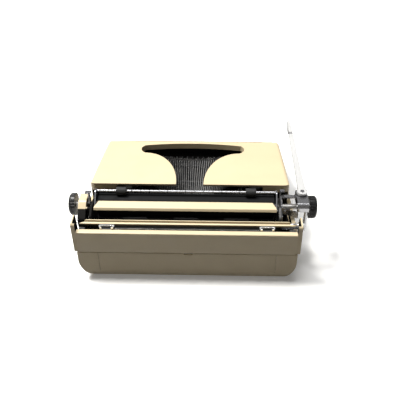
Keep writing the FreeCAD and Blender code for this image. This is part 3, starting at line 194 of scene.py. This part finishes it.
PLASTIC_BLACK = (0.004, 0.004, 0.0045, 1)
PLASTIC_HAZE = (0.02, 0.0195, 0.019, 1)
KEY_BLACK = (0.013, 0.013, 0.014, 1)
KEY_HAZE = (0.06, 0.058, 0.055, 1)
CHROME = (0.86, 0.85, 0.83, 1)
CHROME_TARNISH = (0.3, 0.28, 0.25, 1)
STEEL = (0.50, 0.49, 0.47, 1)
STEEL_TARNISH = (0.24, 0.2, 0.16, 1)
NICKEL = (0.30, 0.30, 0.31, 1)
NICKEL_TARNISH = (0.12, 0.115, 0.11, 1)
BRASS = (0.72, 0.52, 0.24, 1)
BRASS_TARNISH = (0.36, 0.24, 0.10, 1)
BLACKENED = (0.022, 0.022, 0.023, 1)
BLACKENED_WORN = (0.055, 0.053, 0.05, 1)
BLACKENED_RUBBED = (0.34, 0.33, 0.31, 1)
LEVER = (0.60, 0.60, 0.60, 1)
LEVER_SHADE = (0.52, 0.52, 0.515, 1)
# painted shade on the lever's edges, and under its finger end
LEVER_EDGE_SHADE = (0.07, 0.07, 0.075, 1)
LEVER_TIP_SHADE = (0.06, 0.06, 0.065, 1)
CLIP_CHROME = (0.9, 0.9, 0.89, 1)
CLIP_HAZE = (0.66, 0.65, 0.62, 1)
CLIP_BLACK = (0.006, 0.006, 0.006, 1)
CLIP_WORN = (0.02, 0.02, 0.02, 1)
RIBBON_BLACK = (0.010, 0.010, 0.014, 1)
RIBBON_RED = (0.035, 0.005, 0.005, 1)
RIBBON_FIBRE = (0.05, 0.045, 0.045, 1)


# ---------------------------------------------------------------- material building blocks
BEVEL_SAMPLES = 4
OPEN_FACE, SHARP_EDGE = 0.995, 0.86  # how far the rounded normal agrees with the true one


class Paint:
    """One procedural material under construction: nodes are added by kind, inputs by name."""

    def __init__(self, name):
        self.material = bpy.data.materials.new(name)
        self.material.use_nodes = True
        self.tree = self.material.node_tree
        self.shader = self.tree.nodes["Principled BSDF"]
        self.place = self.add("ShaderNodeTexCoord").outputs["Object"]

    def add(self, kind, settings=None, **inputs):
        node = self.tree.nodes.new(kind)
        for key, value in (settings or {}).items():
            setattr(node, key, value)
        for key, value in inputs.items():
            self.set(node, key.replace("_", " "), value)
        return node

    def set(self, node, socket, value):
        target = node.inputs[int(socket)] if socket.isdigit() else node.inputs[socket]
        if isinstance(value, bpy.types.NodeSocket):
            self.tree.links.new(value, target)
        else:
            target.default_value = value

    def stretched(self, scale):
        """Object coordinates stretched along the axes, for brushed patterns."""
        mapping = self.add("ShaderNodeMapping", {}, Vector=self.place, Scale=scale)
        return mapping.outputs["Vector"]

    def noise(self, scale, detail=3.0, roughness=0.5, place=None):
        """Noise with its scale in features per metre."""
        node = self.add("ShaderNodeTexNoise", {}, Vector=place or self.place, Scale=scale, Detail=detail,
                        Roughness=roughness)
        return node.outputs["Fac"]

    def ramp(self, factor, low, high, to_low=0.0, to_high=1.0):
        node = self.add("ShaderNodeMapRange", {}, Value=factor)
        self.set(node, "From Min", low)
        self.set(node, "From Max", high)
        self.set(node, "To Min", to_low)
        self.set(node, "To Max", to_high)
        return node.outputs["Result"]

    def above(self, value, level, fade):
        """1 above a level and 0 below it."""
        return self.ramp(value, level, level + fade)

    def below(self, value, level, fade):
        """1 below a level and 0 above it."""
        return self.ramp(value, level, level - fade)

    def math(self, operation, a, b):
        node = self.add("ShaderNodeMath", {"operation": operation})
        self.set(node, "0", a)
        self.set(node, "1", b)
        return node.outputs["Value"]

    def times(self, a, b):
        """A product: where both masks hold, or a mask at a share of its strength."""
        return self.math("MULTIPLY", a, b)

    def either(self, a, b):
        """Where at least one of two masks holds."""
        return self.math("MAXIMUM", a, b)

    def mix(self, factor, a, b):
        node = self.add("ShaderNodeMix", {"data_type": "RGBA", "blend_type": "MIX"})
        self.set(node, "0", factor)
        self.set(node, "6", a)
        self.set(node, "7", b)
        return node.outputs[2]

    def rounded(self, radius):
        """Surface direction with its sharp edges rounded off."""
        return self.add("ShaderNodeBevel", {"samples": BEVEL_SAMPLES}, Radius=radius).outputs["Normal"]

    def edges(self, radius):
        """1 along convex and concave edges within the radius, 0 on open faces."""
        bevel = self.rounded(radius)
        normal = self.add("ShaderNodeNewGeometry").outputs["Normal"]
        dot = self.add("ShaderNodeVectorMath", {"operation": "DOT_PRODUCT"})
        self.set(dot, "0", bevel)
        self.set(dot, "1", normal)
        return self.ramp(dot.outputs["Value"], OPEN_FACE, SHARP_EDGE)

    def relief(self, height, strength, distance, edge_radius):
        """Bump from a height, on top of normals that round off sharp edges."""
        rounded = self.rounded(edge_radius)
        bump = self.add("ShaderNodeBump", {}, Strength=strength, Distance=distance, Height=height,
                        Normal=rounded)
        self.tree.links.new(bump.outputs["Normal"], self.shader.inputs["Normal"])

    def at(self, axis):
        """Position along an axis."""
        return self.add("ShaderNodeSeparateXYZ", {}, Vector=self.place).outputs[axis]

    def facing(self, axis):
        """How far the true surface looks along an axis: 1, 0 or -1 for with, across or against it."""
        normal = self.add("ShaderNodeNewGeometry").outputs["True Normal"]
        return self.add("ShaderNodeSeparateXYZ", {}, Vector=normal).outputs[axis]

    def finish(self, colour, roughness, metallic=0.0, specular=0.5, **constants):
        self.set(self.shader, "Base Color", colour)
        self.set(self.shader, "Roughness", roughness)
        self.set(self.shader, "Metallic", metallic)
        self.set(self.shader, "Specular IOR Level", specular)
        for key, value in constants.items():
            self.set(self.shader, key.replace("_", " "), value)
        return self.material


# ---------------------------------------------------------------- finishes
LEVER_SHEET = 4.5 * MM  # depth of the bright part, down from the lever's top
# length of the painted shade under the lever's finger end
TIP_SHADE_LENGTH = 33 * MM
CLIP_LOOP = 2.2 * MM  # depth of the bright loop, down from the margin stop's top


def enamel(p, colour, shade):
    """Base colour of enamel over sheet steel: mottling, specks, and edges rubbed lighter."""
    mottle = p.ramp(p.noise(26, detail=4), 0.35, 0.7)
    speckle = p.ramp(p.noise(900, detail=2), 0.62, 0.74)
    base = p.mix(p.times(mottle, 0.45), colour, shade)
    speck = (*(part * share for part, share in zip(shade, SPECK_SHARES)), 1)
    base = p.mix(p.times(speckle, 0.10), base, speck)
    rubbed = p.times(p.edges(0.9 * MM), p.ramp(p.noise(120, detail=5, roughness=0.6), 0.46, 0.60))
    return p.mix(p.times(rubbed, 0.30), base, ENAMEL_RUBBED)


def painted(name, colour, shade):
    """Enamel with a fine orange peel under a thin glossy coat."""
    p = Paint(name)
    base = enamel(p, colour, shade)
    p.relief(p.noise(1100, detail=2), strength=0.10, distance=0.3 * MM, edge_radius=0.8 * MM)
    rough = p.ramp(p.noise(60, detail=4), 0.3, 0.7, 0.34, 0.46)
    return p.finish(base, rough, Coat_Weight=0.12, Coat_Roughness=0.25)


def cream_with_painted_shade(name, shade_mask):
    """Cream enamel outside, and painted shade in black, with a faint grey grain, where the mask is 1."""
    p = Paint(name)
    mask = shade_mask(p)
    painted_shade = p.mix(p.noise(1300, detail=4), PAINTED_SHADE_BLACK, PAINTED_SHADE_GREY)
    base = p.mix(mask, enamel(p, CREAM, CREAM_SHADE), painted_shade)
    p.relief(p.noise(1100, detail=2), strength=0.1, distance=0.3 * MM, edge_radius=0.8 * MM)
    return p.finish(base, p.ramp(mask, 0, 1, 0.4, 0.9), specular=p.ramp(mask, 0, 1, 0.5, 0.1))


def crackle_black(name):
    """Black wrinkle enamel, as on frame castings."""
    p = Paint(name)
    cells = p.add("ShaderNodeTexVoronoi", {"feature": "SMOOTH_F1"}, Vector=p.place, Scale=900.0)
    base = p.mix(p.ramp(p.noise(40, detail=4), 0.3, 0.7), WRINKLE_BLACK, WRINKLE_GREY)
    base = p.mix(p.times(p.edges(0.6 * MM), 0.35), base, WRINKLE_RUBBED)
    p.relief(cells.outputs["Distance"], strength=0.35, distance=0.4 * MM, edge_radius=0.5 * MM)
    return p.finish(base, p.ramp(p.noise(90), 0.3, 0.7, 0.42, 0.6))


def rubber(name, colour, worn, specular=0.25):
    """Matt black rubber or ink with fine grain and scuffed patches."""
    p = Paint(name)
    grain = p.noise(2600)
    scuff = p.ramp(p.noise(70, detail=6, roughness=0.65), 0.5, 0.68)
    base = p.mix(p.times(scuff, 0.35), colour, worn)
    p.relief(grain, strength=0.25, distance=0.15 * MM, edge_radius=0.6 * MM)
    return p.finish(base, p.ramp(scuff, 0, 1, 0.62, 0.78), specular=specular)


def moulded(name, colour, light):
    """Moulded plastic with a slight haze and a rubbed sheen on its edges."""
    p = Paint(name)
    haze = p.ramp(p.noise(85, detail=5, roughness=0.6), 0.42, 0.66)
    base = p.mix(p.times(haze, 0.25), colour, light)
    base = p.mix(p.times(p.edges(0.5 * MM), 0.12), base, light)
    p.relief(p.noise(1700, detail=2), strength=0.05, distance=0.2 * MM, edge_radius=0.6 * MM)
    return p.finish(base, p.ramp(haze, 0, 1, 0.28, 0.42), specular=0.22)


def plated(name, colour, tarnish, share, rough, brush=None):
    """Plated or bare metal: fine scratches, and a share of tarnish in dull patches."""
    p = Paint(name)
    cloud = p.ramp(p.noise(45, detail=5, roughness=0.6), 0.46, 0.70)
    place = p.stretched(brush) if brush else p.place
    scratch = p.noise(700, detail=2, place=place)
    base = p.mix(p.times(cloud, share), colour, tarnish)
    p.relief(scratch, strength=0.06, distance=0.1 * MM, edge_radius=0.4 * MM)
    shiny, dull = rough
    shine = p.math("ADD", p.ramp(cloud, 0, 1, shiny, dull), p.ramp(scratch, 0.4, 0.7, 0, 0.06))
    return p.finish(base, shine, metallic=1.0)


def blackened(name):
    """Oil-blackened steel with bright rubbed edges, as on typebars and linkages."""
    p = Paint(name)
    cloud = p.ramp(p.noise(160, detail=4, roughness=0.6), 0.40, 0.68)
    base = p.mix(cloud, BLACKENED, BLACKENED_WORN)
    rubbed = p.times(p.edges(0.4 * MM), p.ramp(p.noise(400), 0.35, 0.6))
    base = p.mix(p.times(rubbed, 0.75), base, BLACKENED_RUBBED)
    p.relief(p.noise(1500, detail=2), strength=0.08, distance=0.1 * MM, edge_radius=0.3 * MM)
    return p.finish(base, p.ramp(cloud, 0, 1, 0.34, 0.5), metallic=0.55)


def satin_lever(name):
    """Satin aluminium brushed lengthwise, with painted shade darkening its edges and the underside of its
    finger end.
    """
    p = Paint(name)
    brushing = p.noise(900, place=p.stretched((1, 0.04, 1)))
    base = p.mix(p.ramp(brushing, 0.3, 0.75), LEVER, LEVER_SHADE)
    # painted shade darkens the edges
    base = p.mix(p.times(p.edges(1.4 * MM), 0.95), base, LEVER_EDGE_SHADE)
    low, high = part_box("return_lever")
    underside = p.below(p.at("Z"), high.z - LEVER_SHEET, fade=0.7 * MM)
    # painted shade under the finger end, below the bright top
    tip_shade = p.times(underside, p.below(p.at("Y"), low.y + TIP_SHADE_LENGTH, fade=2 * MM))
    base = p.mix(tip_shade, base, LEVER_TIP_SHADE)
    p.relief(brushing, strength=0.02, distance=0.1 * MM, edge_radius=0.4 * MM)
    return p.finish(base, p.ramp(p.noise(50, detail=4), 0.3, 0.7, 0.3, 0.4), metallic=0.35)


def clip(name):
    """Margin stop: bright chrome finger loop on a black body."""
    p = Paint(name)
    _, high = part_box("margin_stop_left")
    body = p.below(p.at("Z"), high.z - CLIP_LOOP, fade=0.8 * MM)
    cloud = p.ramp(p.noise(60, detail=4), 0.4, 0.7)
    chrome = p.mix(cloud, CLIP_CHROME, CLIP_HAZE)
    black = p.mix(cloud, CLIP_BLACK, CLIP_WORN)
    p.relief(p.noise(900, detail=2), strength=0.04, distance=0.1 * MM, edge_radius=0.4 * MM)
    metal = p.ramp(body, 0, 1, 0.9, 0.0)
    return p.finish(p.mix(body, chrome, black), p.ramp(body, 0, 1, 0.22, 0.5), metallic=metal)


def woven_ribbon(name):
    """Two-colour inked cloth ribbon: black above, dark red below, with a fine plain weave."""
    p = Paint(name)
    low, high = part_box("ribbon")
    middle = (low.z + high.z) / 2
    red = p.below(p.at("Z"), middle + 0.2 * MM, fade=0.4 * MM)
    base = p.mix(red, RIBBON_BLACK, RIBBON_RED)
    bands = {"wave_type": "BANDS", "bands_direction": "DIAGONAL"}
    weave = p.add("ShaderNodeTexWave", bands, Vector=p.place, Scale=900.0, Distortion=1.0)
    base = p.mix(p.times(p.noise(300, detail=4), 0.3), base, RIBBON_FIBRE)
    p.relief(weave.outputs["Fac"], strength=0.5, distance=0.1 * MM, edge_radius=0.2 * MM)
    return p.finish(base, 0.85, specular=0.2, Sheen_Weight=0.1)


# ---------------------------------------------------------------- where painted shade in black covers the cream
SHELL_FLOOR_TOP = 15 * MM
SHELL_RIM = 4 * MM
COVER_FRONT_WALL = 15 * MM
HIDDEN_LEDGE = 5 * MM
TABLE_SHEET = 7 * MM
CAP_LENGTH = 13 * MM
CAP_UPPER_PART = 7.5 * MM


def downward(p):
    """Faces that look down."""
    return p.below(p.facing("Z"), -0.2, fade=0.3)


def sideways(p):
    """Distance from the middle plane, against it where the face looks back towards the middle."""
    return p.times(p.math("SUBTRACT", p.at("X"), SHELL_MIDDLE), p.facing("X"))


def panel_shade_mask(p):
    """Painted shade on the faces of the side panels that look towards the middle."""
    return p.below(sideways(p), -0.02, fade=0.04)


def shell_shade_mask(p):
    """Painted shade inside the lower shell: its inward walls, its floor and the rounding between them."""
    height = p.at("Z")
    upward = p.facing("Z")
    outward = p.math("ADD", sideways(p), p.times(p.at("Y"), p.facing("Y")))
    inner_wall = p.below(outward, -0.01, fade=0.02)
    floor_face = p.times(p.above(upward, 0.3, fade=0.3), p.below(height, SHELL_FLOOR_TOP, fade=4 * MM))
    bowl = p.times(p.above(upward, 0.05, fade=0.10), p.below(height, SHELL_HIGH.z - SHELL_RIM, fade=2 * MM))
    return p.either(inner_wall, p.either(floor_face, bowl))


def cover_shade_mask(p):
    """Painted shade on the underside of the ribbon cover, and on the inside of its front wall."""
    low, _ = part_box("ribbon_cover")
    near_front = p.below(p.at("Y"), low.y + COVER_FRONT_WALL, fade=2 * MM)
    front_inside = p.times(near_front, p.above(p.facing("Y"), 0.3, fade=0.3))
    return p.either(downward(p), front_inside)


def surround_shade_mask(p):
    """Painted shade on the underside of the keyboard surround, and on the ledge that the ribbon cover hides.
    """
    low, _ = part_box("ribbon_cover")
    ledge = p.above(p.at("Y"), low.y + HIDDEN_LEDGE, fade=0.5 * MM)
    return p.either(ledge, downward(p))


def table_shade_mask(p):
    """Painted shade on the brackets under the paper table."""
    _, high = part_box("paper_table")
    return p.below(p.at("Z"), high.z - TABLE_SHEET, fade=0.4 * MM)


def end_cap_shade_mask(p):
    """Painted shade over all of the right end plate but the upper part of its outer cap."""
    _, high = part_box("carriage_end_right")
    cap = p.above(p.at("X"), high.x - CAP_LENGTH, fade=0.5 * MM)
    upper = p.above(p.at("Z"), high.z - CAP_UPPER_PART, fade=0.5 * MM)
    return p.math("SUBTRACT", 1.0, p.times(cap, upper))


# ---------------------------------------------------------------- materials on the nodes
# name, builder, and what the builder takes after the name
FINISHES = (
    ("cream_paint", painted, (CREAM, CREAM_SHADE)),
    ("black_frame", crackle_black, ()),
    ("black_rubber", rubber, (RUBBER_BLACK, RUBBER_WORN)),
    ("black_plastic", moulded, (PLASTIC_BLACK, PLASTIC_HAZE)),
    ("chrome", plated, (CHROME, CHROME_TARNISH, 0.25, (0.06, 0.2))),
    ("steel", plated, (STEEL, STEEL_TARNISH, 0.4, (0.28, 0.42), (6, 1, 1))),
    ("key_plastic", moulded, (KEY_BLACK, KEY_HAZE)),
    ("ribbon_fabric", woven_ribbon, ()),
    ("blackened", blackened, ()),
    # these five paint shade in black on cream, on faces that look inward or down, or lie hidden
    ("lined_panel", cream_with_painted_shade, (panel_shade_mask,)),
    ("lined_shell", cream_with_painted_shade, (shell_shade_mask,)),
    ("lined_cover", cream_with_painted_shade, (cover_shade_mask,)),
    ("lined_surround", cream_with_painted_shade, (surround_shade_mask,)),
    ("lined_table", cream_with_painted_shade, (table_shade_mask,)),
    ("margin_clip", clip, ()),
    ("platen_rubber", rubber, (PLATEN_BLACK, PLATEN_WORN, 0.08)),
    ("legend_ink", painted, (LEGEND_WHITE, LEGEND_SHADE)),
    ("scale_ink", rubber, (SCALE_BLACK, SCALE_WORN)),
    # painted shade in black on the right end plate, all but the upper part of its outer cap
    ("end_cap", cream_with_painted_shade, (end_cap_shade_mask,)),
    ("bright_lever", satin_lever, ()),
    ("dark_nickel", plated, (NICKEL, NICKEL_TARNISH, 0.3, (0.2, 0.30))),
    ("brass", plated, (BRASS, BRASS_TARNISH, 0.35, (0.2, 0.4))),
)

OWN_FINISH = {
    "platen_roller": "platen_rubber",
    "margin_rail": "black_frame",
    "margin_stop_left": "margin_clip",
    "margin_stop_right": "margin_clip",
    "paper_table": "lined_table",
    "paper_bail": "dark_nickel",
    "paper_release_lever": "dark_nickel",
    "line_space_selector": "dark_nickel",
    "ribbon_vibrator": "blackened",
    "typebar_wire": "blackened",
    "typebars": "blackened",
    "typebar_g": "blackened",
    "typebar_h": "blackened",
    "type_segment": "blackened",
    "carriage_end_left": "blackened",
    "carriage_rails": "blackened",
    "spool_posts": "blackened",
    # cream parts with painted shade in black on their inward, downward and hidden faces
    "base_shell": "lined_shell",
    "ribbon_cover": "lined_cover",
    "keyboard_surround": "lined_surround",
    "carriage_end_right": "end_cap",
    "rail_end_blocks": "black_frame",
    "return_lever_bracket": "dark_nickel",
    "side_panel_left": "lined_panel",
    "side_panel_right": "lined_panel",
    "return_lever": "bright_lever",
}


def make_materials():
    return {name: build(name, *settings) for name, build, settings in FINISHES}


def record_slots():
    return {part["node"]: part["material_slot"] for part in frame["record"]["subparts"]}


def dress_nodes(materials):
    """Gives every CAD node the finish of its record slot, or a finer one of its own."""
    slots = record_slots()
    for name, obj in frame["nodes"].items():
        finish = materials[OWN_FINISH.get(name, slots[name])]
        obj.data.materials.clear()
        obj.data.materials.append(finish)


# ---------------------------------------------------------------- detail pieces
CAP_SIZE = 13.5 * MM
DISH_DEPTH = 0.34 * MM
LEGEND_SIZE = 5.6 * MM
LEGEND_THICKNESS = 0.16 * MM
LEGEND_LIFT = 0.4  # middle of a letter over the dish, as a share of its thickness
ROW_LEGENDS = {
    "keys_number_row": "1234567890-",
    "keys_upper_row": "QWERTYUIOP+",
    "keys_home_row": "ASDFGHJKL:=",
    "keys_bottom_row": "ZXCVBNM,./",
}
HOME_GAPS = {"G": "key_g", "H": "key_h"}

TICK_PITCH = 12.7 * MM
TICKS_EACH_SIDE = 6
WIDE_TICK = 0.9 * MM
FINE_TICK = 0.45 * MM
TICK_RADIUS = 2.03 * MM
TICK_BORE = 1.9 * MM
TICK_SIDES = 24

END_PLATE_THICKNESS = 3.0 * MM
END_PLATE_GAP = 0.3 * MM
# back from and above an end plate's lower front corner, in millimetres
END_SCREW_OFFSETS = ((7.0, 3.6), (50.0, 3.6), (51.0, 21.1))
SCREW_RADIUS = 1.9 * MM
SCREW_HEIGHT = 1.2 * MM
SCREW_SIDES = 28
# shares of the radius and of the height, from the foot to the domed top
SCREW_PROFILE = ((1.0, 0.0), (1.0, 0.7), (0.86, 1.0), (0.5, 1.08))
SLOT_HALF_WIDTH = 0.16
SLOT_DEPTH = 0.55


def new_piece(name, mesh, body, material):
    piece = bpy.data.objects.new(name, mesh)
    bpy.context.scene.collection.objects.link(piece)
    mesh.materials.clear()
    mesh.materials.append(material)
    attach(piece, body)
    return piece


def letter_mesh(letter, centre):
    """Flat raised letter, read from the front, centred on a point of a key's dished top."""
    curve = bpy.data.curves.new("letter", "FONT")
    curve.body = letter
    curve.size = LEGEND_SIZE
    curve.extrude = LEGEND_THICKNESS / 2
    curve.align_x = "CENTER"
    curve.align_y = "CENTER"
    holder = bpy.data.objects.new("letter", curve)
    bpy.context.scene.collection.objects.link(holder)
    bpy.context.view_layer.update()
    mesh = bpy.data.meshes.new_from_object(holder.evaluated_get(bpy.context.evaluated_depsgraph_get()))
    mesh.transform(Matrix.Translation(centre))
    bpy.data.objects.remove(holder)
    bpy.data.curves.remove(curve)
    return mesh


def joined(meshes):
    bm = bmesh.new()
    for mesh in meshes:
        bm.from_mesh(mesh)
        bpy.data.meshes.remove(mesh)
    whole = bpy.data.meshes.new("joined")
    bm.to_mesh(whole)
    bm.free()
    return whole


def cap_places(node, count):
    """Middle of each cap's dished top, a dish's depth below its rim, in an evenly pitched row."""
    low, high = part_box(node)
    first = low.x + CAP_SIZE / 2
    step = (high.x - low.x - CAP_SIZE) / (count - 1)
    y = low.y + CAP_SIZE / 2
    z = high.z - DISH_DEPTH + LEGEND_THICKNESS * LEGEND_LIFT
    return [Vector((first + step * i, y, z)) for i in range(count)]


def key_legends(materials):
    """One piece of letters for each row, and one for each key that moves by itself."""
    ink = materials["legend_ink"]
    for node, letters in ROW_LEGENDS.items():
        row = []
        for letter, place in zip(letters, cap_places(node, len(letters))):
            own = HOME_GAPS.get(letter) if node == "keys_home_row" else None
            mesh = letter_mesh(letter, place)
            if own:
                mesh.name = own + "_legend"
                new_piece(own + "_legend", mesh, own, ink)
            else:
                row.append(mesh)
        new_piece(node + "_legends", joined(row), node, ink)


def band(bm, a, b):
    """Quads between two loops of as many points."""
    for i in range(len(a)):
        j = (i + 1) % len(a)
        bm.faces.new((a[i], a[j], b[j], b[i]))


def made_mesh(bm, name):
    """The finished mesh, its faces turned outwards."""
    bmesh.ops.recalc_face_normals(bm, faces=bm.faces)
    mesh = bpy.data.meshes.new(name)
    bm.to_mesh(mesh)
    bm.free()
    return mesh


def tick(bm, x, y, z, width):
    """Thin ring around a rod that runs along x."""
    loops = []
    for place, reach in ((x, TICK_BORE), (x, TICK_RADIUS), (x + width, TICK_RADIUS), (x + width, TICK_BORE)):
        loop = []
        for i in range(TICK_SIDES):
            angle = 2 * math.pi * i / TICK_SIDES
            loop.append(bm.verts.new((place, y + reach * math.cos(angle), z + reach * math.sin(angle))))
        loops.append(loop)
    for a, b in zip(loops, loops[1:] + loops[:1]):
        band(bm, a, b)


def bail_scale(materials):
    """Engraved typing scale: a fine tick every five characters, a wide one every ten."""
    low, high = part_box("paper_bail")
    roller_low, roller_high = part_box("bail_rollers")
    middle = (low.x + high.x) / 2
    y = (roller_low.y + roller_high.y) / 2
    z = (roller_low.z + roller_high.z) / 2
    bm = bmesh.new()
    for i in range(-TICKS_EACH_SIDE, TICKS_EACH_SIDE + 1):
        width = WIDE_TICK if i % 2 == 0 else FINE_TICK
        tick(bm, middle + i * TICK_PITCH, y, z, width)
    mesh = made_mesh(bm, "bail_scale_ticks")
    new_piece("bail_scale_ticks", mesh, "paper_bail", materials["scale_ink"])


def screw_head(bm, centre, axis):
    """Slotted cheese-head screw: chamfered rim, domed top and a sunken slot."""
    turn = Vector((0, 0, 1)).rotation_difference(Vector(axis)).to_matrix()
    loops = []
    for reach_share, rise_share in SCREW_PROFILE:
        reach = SCREW_RADIUS * reach_share
        rise = SCREW_HEIGHT * rise_share
        loop = []
        for i in range(SCREW_SIDES):
            angle = 2 * math.pi * (i + 0.5) / SCREW_SIDES
            across = reach * math.sin(angle)
            in_slot = rise_share >= 1 and abs(across) < SCREW_RADIUS * SLOT_HALF_WIDTH
            sunk = SCREW_HEIGHT * SLOT_DEPTH if in_slot else 0.0
            point = Vector((reach * math.cos(angle), across, rise - sunk))
            loop.append(bm.verts.new(Vector(centre) + turn @ point))
        loops.append(loop)
    for a, b in zip(loops, loops[1:]):
        band(bm, a, b)
    bm.faces.new(loops[-1])
    bm.faces.new(list(reversed(loops[0])))


def end_plate_screws(materials):
    """Screws on the outer faces of the two carriage end plates."""
    bed_low, bed_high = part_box("carriage_bed")
    plate_low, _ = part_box("carriage_end_left")
    left_face = bed_low.x - END_PLATE_GAP - END_PLATE_THICKNESS
    right_face = bed_high.x + END_PLATE_GAP + END_PLATE_THICKNESS
    bm = bmesh.new()
    for along, up in END_SCREW_OFFSETS:
        y = plate_low.y + along * MM
        z = plate_low.z + up * MM
        screw_head(bm, (right_face, y, z), (1, 0, 0))
        screw_head(bm, (left_face, y, z), (-1, 0, 0))
    mesh = made_mesh(bm, "end_plate_screws")
    new_piece("end_plate_screws", mesh, "carriage", materials["steel"])


make_camera()
make_lights()
make_world()
make_floor()
bpy.context.scene.view_settings.view_transform = "Standard"
materials = make_materials()
dress_nodes(materials)
key_legends(materials)
bail_scale(materials)
end_plate_screws(materials)

bpy.context.view_layer.update()
